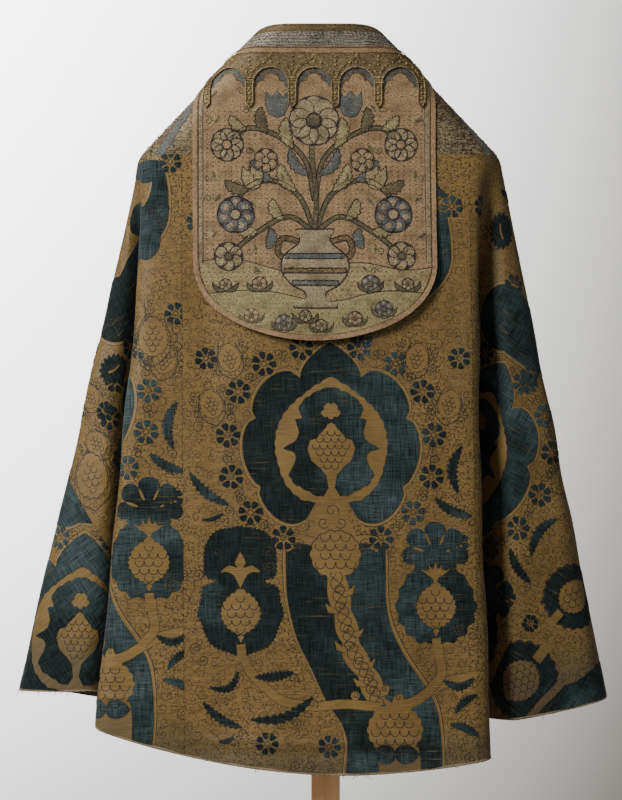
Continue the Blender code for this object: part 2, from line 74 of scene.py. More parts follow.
# Creases in the cloth: u and v of each end, half width, height (a trough is below 0)
creases = (
    (-0.275, 1.364, 0.275, 1.37, 0.0075, 0.0036),
    (-0.275, 1.382, 0.275, 1.39, 0.0085, -0.0026),
    (-0.275, 1.176, 0.1, 1.182, 0.0065, 0.0022),
    (-0.12, 1.056, 0.09, 1.06, 0.005, 0.0009),
    (-0.26, 1.128, -0.19, 1.126, 0.005, 0.001),
    (-0.42, 1.166, -0.29, 1.134, 0.0065, 0.0026),
    (-0.47, 1.29, -0.29, 1.268, 0.0065, 0.0024),
    (-0.25, 0.3, -0.19, 1.15, 0.026, -0.0022),
    (0.262, 0.3, 0.205, 1.18, 0.026, -0.0022),
    (-0.06, 0.7, -0.11, 1.36, 0.034, 0.0016),
    (0.12, 0.76, 0.15, 1.34, 0.03, 0.0016),
    (0.56, 0.62, 0.76, 1.06, 0.02, -0.0022),
    (0.66, 0.56, 0.94, 0.96, 0.02, 0.0022),
    (0.7, 0.72, 0.86, 0.9, 0.007, 0.0014),
    (-0.56, 0.64, -0.74, 1.08, 0.02, -0.0022),
    (-0.68, 0.56, -0.93, 0.96, 0.02, 0.0022),
    (-0.78, 0.84, -0.86, 0.82, 0.006, 0.0014),
    (-1.15, 0.3, -1.26, 0.56, 0.02, 0.002),
    (1.13, 0.3, 1.25, 0.56, 0.02, 0.002),
    (-0.9, 0.32, -1.06, 0.7, 0.024, -0.002),
    (0.88, 0.32, 1.04, 0.7, 0.024, -0.002),
)


def headed(angle):
    return np.array([math.cos(angle), math.sin(angle)])


def hemInPlan():
    # The hem as a belt round the folds' circles: points, distance along, and each fold's place along
    centres = [np.array(row[:2]) for row in hemFolds]
    radii = [row[2] * row[3] for row in hemFolds]
    ways = []
    for start, end, r1, r2 in zip(centres, centres[1:], radii, radii[1:]):
        across = end - start
        ways.append(math.atan2(across[1], across[0]) - math.asin((r2 - r1) / np.linalg.norm(across)))
    points, marks = [centres[0]], [0]
    for centre, radius, before, after in zip(centres[1:], radii[1:], ways, ways[1:]):
        turn = (after - before + math.pi) % (2 * math.pi) - math.pi
        if turn * radius < 0:
            turn += math.copysign(2 * math.pi, radius)
        marks.append(len(points) + 8)
        points += [centre + radius * headed(before + turn * n / 16 - math.pi / 2) for n in range(17)]
    marks.append(len(points))
    points = np.array(points + [centres[-1]])
    along = np.concatenate([[0], np.cumsum(np.linalg.norm(np.diff(points, axis=0), axis=1))])
    return points, along, along[marks]


class Drape:
    # Carries points of the flat cut to their hung place, by a table of places and outward normals

    def __init__(self):
        self.makeFan()
        across = cut["radius"] + hang["margin"]
        self.u0, self.v0 = -across, -hang["margin"]
        u, v = np.meshgrid(np.arange(self.u0, across, hang["cell"]), np.arange(self.v0, across, hang["cell"]),
                           indexing="ij")
        table = self.hung(u, v)
        for _ in range(hang["smoothing"]):
            for axis in (0, 1):
                padded = np.pad(table, [(1, 1) if a == axis else (0, 0) for a in range(3)], "edge")
                low, mid, high = (np.take(padded, np.arange(n, n + table.shape[axis]), axis) for n in range(3))
                table = (low + 2 * mid + high) / 4
        table = table + self.creased(u, v)[..., None] * self.outward(table)
        self.table = np.dstack([table, self.outward(table)])

    def outward(self, table):
        face = np.cross(np.gradient(table, axis=1), np.gradient(table, axis=0))
        return face / np.linalg.norm(face, axis=2, keepdims=True)

    def creased(self, u, v):
        # Heights of the creases and of a slow uneven wave, none where the cloth lies on the arms
        free = np.clip((v - 0.36) / 0.16, 0, 1)
        lift = 0.0013 * free * (np.sin(u * 31 + 2.1 * np.sin(v * 9)) + np.sin(v * 23 + 3 * np.sin(u * 7 + 1)))
        for u1, v1, u2, v2, width, height in creases:
            step = np.array([u2 - u1, v2 - v1])
            share = np.clip(((u - u1) * step[0] + (v - v1) * step[1]) / (step @ step), 0, 1)
            bend = 0.004 * np.sin(share * 9 + u1 * 40)
            off = np.hypot(u - u1 - share * step[0], v - v1 - share * step[1] + bend)
            fade = np.sin(np.pi * np.clip(share, 0.08, 0.92)) ** 0.4
            lift = lift + height * np.exp(-((off / width) ** 2)) * fade
        return lift

    def onRoll(self, side, down, round_):
        # Place from the distance down the arm and the distance round it
        roll, c, s = hang["roll"], math.cos(hang["slope"]), math.sin(hang["slope"])
        angle = np.clip(round_ / roll, 0, math.pi)
        out = roll * np.sin(angle) + np.minimum(round_, 0) - np.maximum(round_ - math.pi * roll, 0)
        x = hang["neckHalf"] + down * c + out * s
        return np.stack([side * x, -roll * np.cos(angle), cut["topZ"] - (down * s - out * c)], axis=-1)

    def ring(self, along):
        # Flat point and place where the cloth leaves the arms
        c, s, roll = math.cos(hang["slope"]), math.sin(hang["slope"]), hang["roll"]
        side = np.where(along < 0, -1, 1)
        beyond = np.abs(along) - (hang["neckHalf"] + hang["depth"] * c / s)
        round_ = np.where(beyond < 0, beyond * s, beyond)
        angle = np.clip(round_ / roll, 0, math.pi)
        out = roll * np.sin(angle) + np.minimum(round_, 0) - np.maximum(round_ - math.pi * roll, 0)
        down = (hang["depth"] + out * c) / s
        u = side * (hang["neckHalf"] + down * c + round_ * s) - hang["shift"]
        return np.stack([u, down * s - round_ * c], axis=-1), self.onRoll(side, down, round_)

    def makeFan(self):
        # Straight lines of the falling cloth from the arms to the hem, one for each angle of the cut
        plan, along, marks = hemInPlan()
        foldAngles = (marks / along[-1] - 0.5) * math.pi
        self.angles = np.radians(np.arange(-97, 97.01, 0.25))
        half = hang["neckHalf"] + hang["depth"] / math.tan(hang["slope"])
        edge = half + (hang["depth"] / math.cos(hang["slope"]) + math.pi * hang["roll"]) / 2
        fan = half + math.pi * hang["roll"]
        left, right = backCrests
        slope = (edge - fan) / (math.pi / 2 - hang["fanEnd"])
        past = (2 - math.pi / 2) * slope
        tieAngles = [-2.0, -math.pi / 2, -hang["fanEnd"], foldAngles[left], foldAngles[right], hang["fanEnd"],
                     math.pi / 2, 2.0]
        tieAlong = [-edge - past, -edge, -fan, -half - backCrests[left], half + backCrests[right], fan, edge,
                    edge + past]
        ringAlong = np.interp(self.angles, tieAngles, tieAlong)
        ringAlong[12:-12] = np.convolve(ringAlong, np.ones(25) / 25, "valid")
        self.topFlat, self.top = self.ring(ringAlong)
        self.foldAngles = foldAngles
        self.hemFlat = self.hemPoint(self.angles)
        distance = (self.angles / math.pi + 0.5) * along[-1]
        hem = np.stack([np.interp(distance, along, plan[:, axis]) for axis in (0, 1)], axis=-1)
        for beyond, end, inner in ((distance.clip(max=0), plan[0], plan[1]),
                                   ((along[-1] - distance).clip(max=0), plan[-1], plan[-2])):
            hem += beyond[:, None] * (inner - end) / np.linalg.norm(inner - end)
        length = np.linalg.norm(self.hemFlat - self.topFlat, axis=1)
        level = np.linalg.norm(hem - self.top[:, :2], axis=1)
        self.hem = np.column_stack([hem, self.top[:, 2] - np.sqrt(length**2 - level**2)])

    def hemPoint(self, angle):
        reach = cut["radius"] + np.interp(angle, self.foldAngles, [row[4] for row in hemFolds])
        return np.stack([reach * np.sin(angle), reach * np.cos(angle)], axis=-1)

    def alongFan(self, table, angle):
        return np.stack([np.interp(angle, self.angles, column) for column in table.T], axis=-1)

    def hung(self, u, v):
        low, high = np.full(u.shape, self.angles[0]), np.full(u.shape, self.angles[-1])
        point = np.stack([u, v], axis=-1)
        for _ in range(26):
            angle = (low + high) / 2
            top = self.alongFan(self.topFlat, angle)
            line, step = self.alongFan(self.hemFlat, angle) - top, point - top
            past = line[..., 0] * step[..., 1] - line[..., 1] * step[..., 0] > 0
            high, low = np.where(past, angle, high), np.where(past, low, angle)
        share = ((step * line).sum(-1) / (line * line).sum(-1))[..., None]
        start = self.alongFan(self.top, angle)
        side = np.where(u + hang["shift"] < 0, -1, 1)
        out = side * (u + hang["shift"]) - hang["neckHalf"]
        c, s = math.cos(hang["slope"]), math.sin(hang["slope"])
        rolled = self.onRoll(side, out * c + v * s, out * s - v * c)
        return np.where(share > 0, start + share * (self.alongFan(self.hem, angle) - start), rolled)

    def read(self, points):
        column, row = (points[:, 0] - self.u0) / hang["cell"], (points[:, 1] - self.v0) / hang["cell"]
        i = np.clip(column.astype(int), 0, self.table.shape[0] - 2)
        j = np.clip(row.astype(int), 0, self.table.shape[1] - 2)
        a, b, t = (column - i)[:, None], (row - j)[:, None], self.table
        near, far = t[i, j] * (1 - a) + t[i + 1, j] * a, t[i, j + 1] * (1 - a) + t[i + 1, j + 1] * a
        found = near * (1 - b) + far * b
        return found[:, :3], found[:, 3:] / np.linalg.norm(found[:, 3:], axis=1, keepdims=True)

    def place(self, points, lift=0.0):
        place, normal = self.read(points)
        return place + np.broadcast_to(lift, points[:, 0].shape)[:, None] * normal


drape = Drape()
print("drape worked out")


# Drawing on the flat cut. A shape is an ink and a closed loop, and later shapes cover earlier ones.

def curved(points, steps=6, closed=False):
    # A smooth line through some points
    p = np.array(points, float)
    if closed:
        p = np.concatenate([p[-1:], p, p[:2]])
    else:
        p = np.concatenate([2 * p[:1] - p[1:2], p, 2 * p[-1:] - p[-2:-1]])
    t = (np.arange(steps) / steps)[:, None]
    spans = []
    for a, b, c, d in zip(p, p[1:], p[2:], p[3:]):
        second, third = 2 * a - 5 * b + 4 * c - d, 3 * b - a - 3 * c + d
        spans.append(0.5 * (2 * b + (c - a) * t + second * t**2 + third * t**3))
    line = np.concatenate(spans)
    return line if closed else np.concatenate([line, p[-2:-1]])


def mirrored(half):
    # A closed loop from its right half, top to bottom
    half = np.array(half, float)
    return np.concatenate([half, half[::-1] * (-1, 1)])


def ribbon(path, half):
    # A strip along a path, of one half width or one for each point
    path = np.array(path, float)
    ahead = np.gradient(path, axis=0)
    side = np.column_stack([-ahead[:, 1], ahead[:, 0]]) / np.linalg.norm(ahead, axis=1, keepdims=True)
    side = side * np.broadcast_to(half, len(path))[:, None]
    return np.concatenate([path + side, (path - side)[::-1]])


def polar(centre, angle, reach):
    # Angles in degrees from straight up, to the right
    angle = np.radians(angle)
    return np.stack([centre[0] + reach * np.sin(angle), centre[1] - reach * np.cos(angle)], axis=-1)


def polarLoop(centre, table, bumps=0, height=0.0, steps=3):
    # A closed loop from angles and reaches of its right half
    angles = np.array([row[0] for row in table], float)
    reach = np.array([row[1] for row in table], float)
    fine = np.linspace(0, 180, 30 * steps)
    r = np.interp(fine, angles, reach)
    r = r + height * np.abs(np.sin(np.radians(fine) * bumps / 2))
    return mirrored(np.column_stack([polar((0, 0), fine, r)])) + centre


def lobedLoop(centre, cusps, reaches, pointed, grow=0.0):
    # Round lobes between cusps, the first one over the top
    angles = [-cusps[0][0]] + [c[0] for c in cusps]
    radii = [cusps[0][1]] + [c[1] for c in cusps]
    half = []
    for n, reach in enumerate(reaches):
        t = np.linspace(0.5 if n == 0 else 0, 1, 13)
        bow = (1 - np.abs(2 * t - 1)) ** 0.75 if n == 0 and pointed else np.sqrt(1 - (2 * t - 1) ** 2)
        base = radii[n] + (radii[n + 1] - radii[n]) * t
        half.append(polar((0, 0), angles[n] + (angles[n + 1] - angles[n]) * t, base + (reach - base) * bow + grow))
    return mirrored(np.concatenate(half)) + centre


def flower(centre, radius, petals=8, turn=0.0, ink="pile"):
    # Split petals round an open heart
    shapes = []
    a = np.linspace(0, 2 * math.pi, 12, endpoint=False)
    notch = 1 - 0.22 * np.exp(-((a / 0.5) ** 2)) - 0.22 * np.exp(-(((a - 2 * math.pi) / 0.5) ** 2))
    petal = np.column_stack([0.245 * np.sin(a) * (1 + 0.42 * np.cos(a)), 0.67 + 0.34 * np.cos(a) * notch]) * radius
    for n in range(petals):
        t = math.radians(turn + 360 * n / petals)
        c, s = math.cos(t), math.sin(t)
        shapes.append((ink, np.column_stack([petal[:, 0] * c + petal[:, 1] * s, petal[:, 0] * s - petal[:, 1] * c])
                       + centre))
    heart = ribbon(polar(centre, np.linspace(0, 360, 13), radius * 0.21), 0.0008)
    return shapes + [("line", heart)]


def leaf(start, end, width, bend=0.18, teeth=9, ink="pile"):
    # A bent leaf with saw teeth along both sides
    start, end = np.array(start, float), np.array(end, float)
    along = end - start
    side = np.array([-along[1], along[0]])
    t = np.linspace(0, 1, 2 * teeth + 1)
    path = start + t[:, None] * along + (np.sin(np.pi * t) * bend)[:, None] * side
    half = width / 2 * np.sin(np.pi * np.clip(t, 0.02, 0.98)) ** 0.6
    half[1::2] *= 0.56
    wide = np.interp(np.arange(4 * teeth + 1), np.arange(0, 4 * teeth + 1, 2), half) + 0.0011
    return [("line", ribbon(curved(path, 2), wide)), (ink, ribbon(path, half))]


def scroll(centre, reach, turns, turn=0.0, hand=1, half=0.0008, ink="line"):
    # A spiral tendril that opens outwards
    t = np.linspace(0, 1, int(11 * turns) + 3)
    return [(ink, ribbon(polar(centre, turn + hand * 360 * turns * t, reach * (0.12 + 0.88 * t)), half))]


def scales(centre, half, height, rows, ink="line"):
    # Overlapping scales that fill an egg shape, as thin lines
    shapes = []
    size = height / rows
    for row in range(rows):
        v = centre[1] - height / 2 + size * (row + 0.55)
        span = half * math.sqrt(max(0.0, 1 - ((v - centre[1]) / (height / 2)) ** 2)) - size * 0.2
        for n in np.arange(-8, 9):
            u = (n + (row % 2) / 2) * size * 1.12
            if abs(u) < span - size * 0.25:
                arc = polar((centre[0] + u, v), np.linspace(72, 288, 9), size * 0.54)
                shapes.append((ink, ribbon(arc, 0.0008)))
    return shapes


def ringed(loop, centre, grow):
    # The loop moved outwards from its centre by a fixed distance
    away = loop - centre
    return centre + away * (1 + grow / np.linalg.norm(away, axis=1, keepdims=True))


# The woven repeat of one loom width: a lobed pomegranate over a wavy trunk, with smaller ones at its sides
weave = {
    "rosette": (0.0, 0.8),
    "cusps": ((25, 0.136), (72, 0.149), (122, 0.158), (165, 0.118)),
    "lobes": (0.19, 0.17, 0.168, 0.178),
    "ringOut": ((0, 0.124), (10, 0.114), (28, 0.104), (45, 0.102), (68, 0.104), (90, 0.105), (112, 0.107),
                (135, 0.117), (152, 0.121), (166, 0.115), (180, 0.113)),
    "ringIn": ((0, 0.104), (18, 0.098), (36, 0.093), (44, 0.086), (50, 0.07), (58, 0.079), (66, 0.066), (78, 0.061),
               (90, 0.068), (97, 0.092), (103, 0.073), (114, 0.07), (121, 0.082), (128, 0.101), (140, 0.104),
               (150, 0.101), (166, 0.104), (180, 0.098)),
    "blossoms": ((17, 0.188), (40, 0.195), (61, 0.199), (86, 0.195), (109, 0.2), (131, 0.203), (153, 0.203)),
    "trunkLeft": ((-0.088, 0.992), (-0.088, 1.04), (-0.085, 1.1), (-0.069, 1.17), (-0.043, 1.226),
                  (-0.014, 1.29), (0.014, 1.332), (0.024, 1.372), (0.021, 1.42), (0.01, 1.52)),
    "trunkRight": ((0.1, 0.992), (0.1, 1.04), (0.1, 1.1), (0.11, 1.152), (0.136, 1.207), (0.172, 1.262),
                   (0.19, 1.296), (0.199, 1.34), (0.201, 1.42), (0.19, 1.52)),
    "trunkEnd": ((0.214, 0.36), (0.212, 0.42), (0.19, 0.465), (0.125, 0.503), (0.04, 0.53), (-0.04, 0.545)),
    "stem": ((0.006, 1.05), (0.011, 1.085), (0.017, 1.115), (0.024, 1.145), (0.031, 1.17), (0.036, 1.195),
             (0.052, 1.222), (0.066, 1.245), (0.074, 1.27), (0.084, 1.298)),
    "leaves": ((-0.231, 1.263, -0.179, 1.233, 0.016, 0.3), (-0.147, 1.243, -0.076, 1.234, 0.021, 0.05),
               (-0.155, 1.323, -0.04, 1.281, 0.022, 0.14), (-0.244, 1.291, -0.173, 1.338, 0.019, 0.1),
               (-0.216, 1.365, -0.188, 1.356, 0.011, 0.1), (0.207, 1.25, 0.264, 1.246, 0.018, 0.25),
               (0.228, 1.312, 0.27, 1.278, 0.017, -0.1), (0.218, 1.334, 0.27, 1.356, 0.018, -0.1),
               (-0.266, 0.858, -0.194, 0.918, 0.021, 0.1), (-0.243, 0.947, -0.204, 0.934, 0.009, 0.1),
               (0.247, 0.808, 0.239, 0.896, 0.022, 0.16), (0.196, 0.906, 0.264, 0.94, 0.021, 0.1),
               (-0.23, 0.47, -0.2, 0.54, 0.022, 0.16), (0.23, 0.43, 0.19, 0.5, 0.022, 0.16),
               (-0.18, 0.33, -0.12, 0.3, 0.02, 0.12), (0.12, 0.31, 0.186, 0.33, 0.02, 0.12)),
    "sideTree": (-0.1735, 1.125),
    "sideTreeHalf": ((0.0, -0.166), (0.022, -0.162), (0.041, -0.158), (0.056, -0.145), (0.065, -0.123),
                     (0.067, -0.1), (0.065, -0.074), (0.049, -0.066), (0.038, -0.063), (0.056, -0.057),
                     (0.071, -0.048), (0.073, -0.026), (0.08, 0.0), (0.073, 0.015), (0.062, 0.045),
                     (0.049, 0.06), (0.023, 0.071), (0.0, 0.08)),
    "crownTree": (0.194, 1.114),
    "crownTreeHalf": ((0.0, -0.074), (0.02, -0.07), (0.034, -0.078), (0.044, -0.068), (0.054, -0.062),
                      (0.06, -0.046), (0.07, -0.036), (0.07, -0.02), (0.078, -0.004), (0.071, 0.01),
                      (0.072, 0.026), (0.06, 0.034), (0.056, 0.05), (0.042, 0.054), (0.034, 0.066),
                      (0.018, 0.064), (0.0, 0.074)),
    "flame": ((0.0, -0.118), (0.007, -0.106), (0.01, -0.096), (0.006, -0.088), (0.022, -0.092), (0.037, -0.08),
              (0.024, -0.08), (0.013, -0.074), (0.007, -0.064), (0.0, -0.048)),
    "crown": ((0.0, -0.09), (0.004, -0.074), (0.01, -0.084), (0.009, -0.07), (0.021, -0.074), (0.01, -0.062),
              (0.004, -0.056), (0.0, -0.036)),
}


def sawn(half, teeth):
    # Shallow saw teeth on the right half of an outline
    half = curved(half, 5)
    along = np.cumsum(np.concatenate([[0], np.linalg.norm(np.diff(half, axis=0), axis=1)]))
    even = np.linspace(0, along[-1], 2 * teeth + 1)
    line = np.column_stack([np.interp(even, along, half[:, a]) for a in (0, 1)])
    ahead = np.gradient(line, axis=0)
    side = np.column_stack([ahead[:, 1], -ahead[:, 0]]) / np.linalg.norm(ahead, axis=1, keepdims=True)
    line[1:-1:2] -= 0.0028 * side[1:-1:2] * -1
    line[[0, -1], 0] = 0
    return line


def fruit(centre, half, height, rows):
    # A gold cone with scales and a bumpy edge
    table = [(0, height * 0.62), (16, height * 0.53), (40, half * 1.04), (70, half), (90, half), (120, half * 1.0),
             (150, height * 0.47), (180, height * 0.52)]
    loop = polarLoop(centre, table, 22, 0.003)
    return [("gold", loop)] + scales(centre, half, height, rows)


def petalFan(centre, reach, inner, ink="pile"):
    # Round petals side by side over the crown, parted by slits
    cusps = ((24, reach * 0.72), (70, reach * 0.72), (112, reach * 0.66), (150, inner))
    shapes = [(ink, lobedLoop(np.array(centre), cusps, (reach, reach * 1.02, reach * 0.98, reach * 0.72), False))]
    for angle in (-70, -24, 24, 70):
        shapes.append(("gold", ribbon(polar(centre, angle, np.linspace(reach * 0.34, reach * 0.72, 4)),
                                        (0.0014, 0.0026, 0.0022, 0.0006))))
    return shapes


def shifted(shapes, u, v, turn=0.0):
    # The shapes turned about the origin and moved
    c, s = math.cos(math.radians(turn)), math.sin(math.radians(turn))
    return [(ink, np.column_stack([loop[:, 0] * c - loop[:, 1] * s, loop[:, 0] * s + loop[:, 1] * c]) + (u, v))
            for ink, loop in shapes]


def roundTree(reach, rows):
    # A single small pomegranate with its stalk
    edge = polarLoop((0, 0), ((0, reach), (90, reach * 0.98), (180, reach)), 22, reach * 0.07)
    shapes = [("line", edge * 1.05), ("pile", edge)]
    shapes += fruit((0, 0), reach * 0.5, reach * 1.1, rows)
    return shapes + [("gold", ribbon(np.array(((0, reach * 0.7), (0, reach * 1.25))), reach * 0.15))]


def leafFlower(reach):
    # A round flower of saw-edged leaves with a slit across
    edge = polarLoop((0, 0), ((0, reach * 0.86), (90, reach), (180, reach * 0.86)), 16, reach * 0.2)
    slit = curved(((-reach * 0.5, reach * 0.1), (0, 0.002), (reach * 0.6, -reach * 0.2)), 4)
    return [("line", edge * 1.12), ("pile", edge), ("gold", ribbon(slit, 0.0022))]


def linedTree(reach):
    # A pomegranate drawn in line alone, among curled leaves
    table = ((0, reach * 1.3), (40, reach), (90, reach * 0.9), (180, reach * 1.2))
    edge = polarLoop((0, 0), table, 18, reach * 0.1)
    shapes = [("line", edge), ("gold", edge * 0.95)] + scales((0, 0), reach * 0.75, reach * 1.8, 5)
    for side in (-1, 1):
        for n in range(5):
            spot = (side * reach * (1.3 + 0.2 * (n % 2)), reach * (1.1 - 0.55 * n))
            shapes += scroll(spot, reach * 0.36, 1.3, 70 * n, side)
        bow = curved(((0, reach * 1.9), (side * reach * 0.9, reach * 1.2), (side * reach * 1.1, 0),
                      (side * reach * 0.7, -reach * 1.2)), 6)
        shapes.append(("line", ribbon(bow, 0.0009)))
    return shapes


def loomRepeat():
    shapes = []
    heart = np.array(weave["rosette"])
    outline = lambda grow: lobedLoop(heart, weave["cusps"], weave["lobes"], True, grow)
    # The trunk first: everything else lies over it
    left, right = curved(weave["trunkLeft"], 8), curved(weave["trunkRight"], 8)
    for ink, grow in (("line", 0.0064), ("pale", 0.005), ("gold", 0.0036), ("pile", 0.0)):
        band = np.concatenate([left - (grow, grow), (right + (grow, -grow))[::-1]])
        shapes.append((ink, band))
    end = curved(weave["trunkEnd"], 10)
    wide = np.interp(np.arange(len(end)), np.linspace(0, len(end) - 1, 6), (0.01, 0.02, 0.038, 0.054, 0.062, 0.046))
    shapes += [("line", ribbon(end, wide + 0.0058)), ("pale", ribbon(end, wide + 0.0046)),
               ("gold", ribbon(end, wide + 0.003)), ("line", polar((-0.048, 0.536), np.arange(0, 360, 9), 0.0705)),
               ("pale", polar((-0.048, 0.536), np.arange(0, 360, 9), 0.0692)),
               ("gold", polar((-0.048, 0.536), np.arange(0, 360, 9), 0.0672)), ("pile", ribbon(end, wide)),
               ("pile", polar((-0.048, 0.536), np.arange(0, 360, 9), 0.064))]
    # The big lobed flower
    for ink, grow in (("line", 0.0066), ("pale", 0.0054), ("gold", 0.0034), ("pile", 0.0)):
        shapes.append((ink, outline(grow)))
    shapes.append(("gold", polarLoop(heart, weave["ringOut"], 34, 0.0022, 5)))
    shapes.append(("pile", polarLoop(heart, weave["ringIn"], 30, 0.0026, 6)))
    neck = mirrored(((0.03, 0.905), (0.03, 0.925), (0.034, 0.95), (0.046, 0.975), (0.07, 0.992)))
    shapes.append(("gold", neck))
    shapes += [("gold", polarLoop(heart + (0, -0.058), ((0, 0.014), (30, 0.017), (70, 0.013), (100, 0.018),
                                                         (150, 0.01), (180, 0.014)), 10, 0.002, 3))]
    shapes += [("gold", mirrored(((0.0, 0.762), (0.007, 0.766), (0.01, 0.772), (0.022, 0.784), (0.027, 0.792),
                                    (0.04, 0.796), (0.045, 0.812), (0.038, 0.834), (0.022, 0.848),
                                    (0.01, 0.862), (0.006, 0.886), (0.018, 0.906))))]
    shapes += scales((0.0, 0.812), 0.038, 0.076, 6)
    shapes += scroll((0.0, 0.93), 0.014, 1.2, 40, 1) + scroll((-0.016, 0.952), 0.012, 1.2, 200, -1)
    shapes += scroll((0.017, 0.952), 0.012, 1.2, 160, 1)
    # Arms of the calyx, and the scaled cup on the trunk
    for side in (-1, 1):
        arm = curved(((side * 0.018, 0.996), (side * 0.052, 0.984), (side * 0.085, 0.988),
                      (side * 0.078, 1.004)), 8)
        shapes += [("line", ribbon(arm, 0.009)), ("gold", ribbon(arm, 0.0078))]
        shapes += scroll((side * 0.07, 1.002), 0.012, 1.3, 90, side)
    shapes += [("line", polarLoop((0.006, 1.012), ((0, 0.044), (90, 0.047), (180, 0.044)), 14, 0.0032)),
               ("gold", polarLoop((0.006, 1.012), ((0, 0.042), (90, 0.045), (180, 0.042)), 14, 0.0032))]
    shapes += scales((0.006, 1.012), 0.044, 0.086, 5)
    # The twisted leafy stem in the trunk
    stem = curved(weave["stem"], 8)
    wave = 0.0155 + 0.006 * np.abs(np.sin(np.linspace(0, 4.2 * math.pi, len(stem))))
    shapes.append(("gold", ribbon(stem, wave)))
    for n, share in enumerate((0.1, 0.22, 0.38, 0.52, 0.64, 0.8, 0.9)):
        side = -1 if n % 2 else 1
        spot = stem[int(share * (len(stem) - 1))]
        tip = spot + (side * 0.03, -0.01 + 0.004 * (n % 3))
        shapes += leaf(spot, tip, 0.013, 0.35 * side, 3, "gold")
        shapes += scroll(spot, 0.011, 0.9, 90 * side, side)
    # Twisting lines down the stem
    for phase in (0.0, 2.1, 4.2):
        sway = 0.012 * np.sin(np.linspace(0, 9.0 * math.pi, len(stem)) + phase)
        ahead = np.gradient(stem, axis=0)
        side = np.column_stack([-ahead[:, 1], ahead[:, 0]]) / np.linalg.norm(ahead, axis=1, keepdims=True)
        shapes.append(("line", ribbon(stem + side * sway[:, None], 0.0008)))
    # Branches, each with a curled bud where it leaves the stem
    for path, half in ((((-0.024, 1.298), (0.02, 1.294), (0.06, 1.297), (0.086, 1.3)), 0.0085),
                       (((0.112, 1.302), (0.15, 1.29), (0.185, 1.268), (0.225, 1.25), (0.29, 1.238)), 0.009),
                       (((-0.172, 1.18), (-0.168, 1.205), (-0.158, 1.23), (-0.13, 1.262), (-0.09, 1.29),
                         (-0.024, 1.3)), 0.0085),
                       (((0.197, 1.172), (0.2, 1.205), (0.203, 1.24), (0.18, 1.268)), 0.0085)):
        line = curved(path, 8)
        shapes += [("line", ribbon(line, half + 0.001)), ("gold", ribbon(line, half))]
    for spot, side in (((0.04, 1.278), -1), ((0.122, 1.282), 1), ((0.096, 1.266), 1)):
        shapes += [("gold", polar(spot, np.arange(0, 360, 30), 0.0085))] + scroll(spot, 0.007, 1.1, 0, side)
    # The lower scaled fruit and its stalk down to the hem
    shapes += [("gold", polarLoop((0.114, 1.342), ((0, 0.044), (90, 0.05), (180, 0.044)), 18, 0.0034)),
               ("gold", mirrored(((0.0, 1.276), (0.006, 1.292), (0.02, 1.282), (0.016, 1.3),
                                    (0.034, 1.296), (0.024, 1.322))) + (0.114, 0)),
               ("gold", ribbon(curved(((0.118, 1.38), (0.122, 1.41), (0.12, 1.46), (0.11, 1.52)), 6), 0.04)),
               ("pile", polarLoop((0.114, 1.389), ((0, 0.005), (90, 0.046), (180, 0.005))))]
    shapes += scales((0.114, 1.346), 0.044, 0.08, 5)
    # Smaller pomegranates at the sides
    for spot, half, inner, teeth in (("sideTree", "sideTreeHalf", "flame", 46),
                                     ("crownTree", "crownTreeHalf", "crown", 0)):
        centre = np.array(weave[spot])
        edge = sawn(weave[half], teeth) if teeth else curved(weave[half], 5)
        if not teeth:
            shapes += petalFan(centre + (0, -0.1), 0.064, 0.03)
        tip = mirrored(curved(weave[inner], 3)) * (1.0 if teeth else 1.35, 1.0)
        shapes += [("pile", mirrored(edge) + centre), ("gold", tip + centre)]
        shapes += fruit(centre + (0, -0.002), 0.035, 0.074, 5)
        shapes += [("gold", mirrored(((0.0, 0.038), (0.006, 0.042), (0.0, 0.054))) + centre),
                   ("gold", ribbon(curved(((0, 0.056), (0.001, 0.07), (0.002, 0.09)), 4) + centre, 0.0085))]
    for u1, v1, u2, v2, width, bend in weave["leaves"]:
        shapes += leaf((u1, v1), (u2, v2), width, bend)
        shapes += scroll((u2, v2 + 0.012), 0.011, 1.3, 30, 1 if u1 < 0 else -1)
    # The ring of small blossoms, each in its own curl
    for side in (-1, 1):
        for n, (angle, reach) in enumerate(weave["blossoms"]):
            spot = polar(heart, side * angle, reach)
            for hand in (-1, 1):
                curl = polar(spot, side * angle + hand * 95, 0.033)
                shapes += scroll(curl, 0.0105, 1.5, side * angle + hand * 60, hand)
            shapes += flower(spot, 0.0245, 7, angle)
    for spot in ((-0.126, 1.368), (-0.01, 1.374), (-0.216, 1.006), (0.236, 0.99), (-0.15, 0.56), (0.06, 0.6),
                 (-0.06, 0.47), (-0.235, 0.64), (0.245, 0.64), (-0.25, 0.38), (-0.03, 0.35), (0.235, 0.35)):
        shapes += flower(spot, 0.0225, 7, spot[0] * 900)
    # Fruits and tendrils drawn in line alone
    for u, v in ((-0.225, 0.728), (0.225, 0.728), (-0.15, 0.4), (0.02, 0.27), (-0.19, 0.64), (0.165, 0.64)):
        shapes += shifted(linedTree(0.022), u, v, u * 60)
    for u, v, turn in ((-0.085, 1.33, 0), (-0.25, 1.2, 60), (0.25, 1.16, 200), (-0.12, 1.02, 90),
                       (0.125, 1.01, 20), (0.265, 1.39, 140), (-0.06, 1.41, 0), (-0.265, 1.05, 0)):
        for hand in (-1, 1):
            shapes += scroll(polar((u, v), turn + hand * 90, 0.013), 0.012, 1.6, turn, hand)
    return shapes


print("velvet repeat drawn")


# Flat patches and the walls made from them

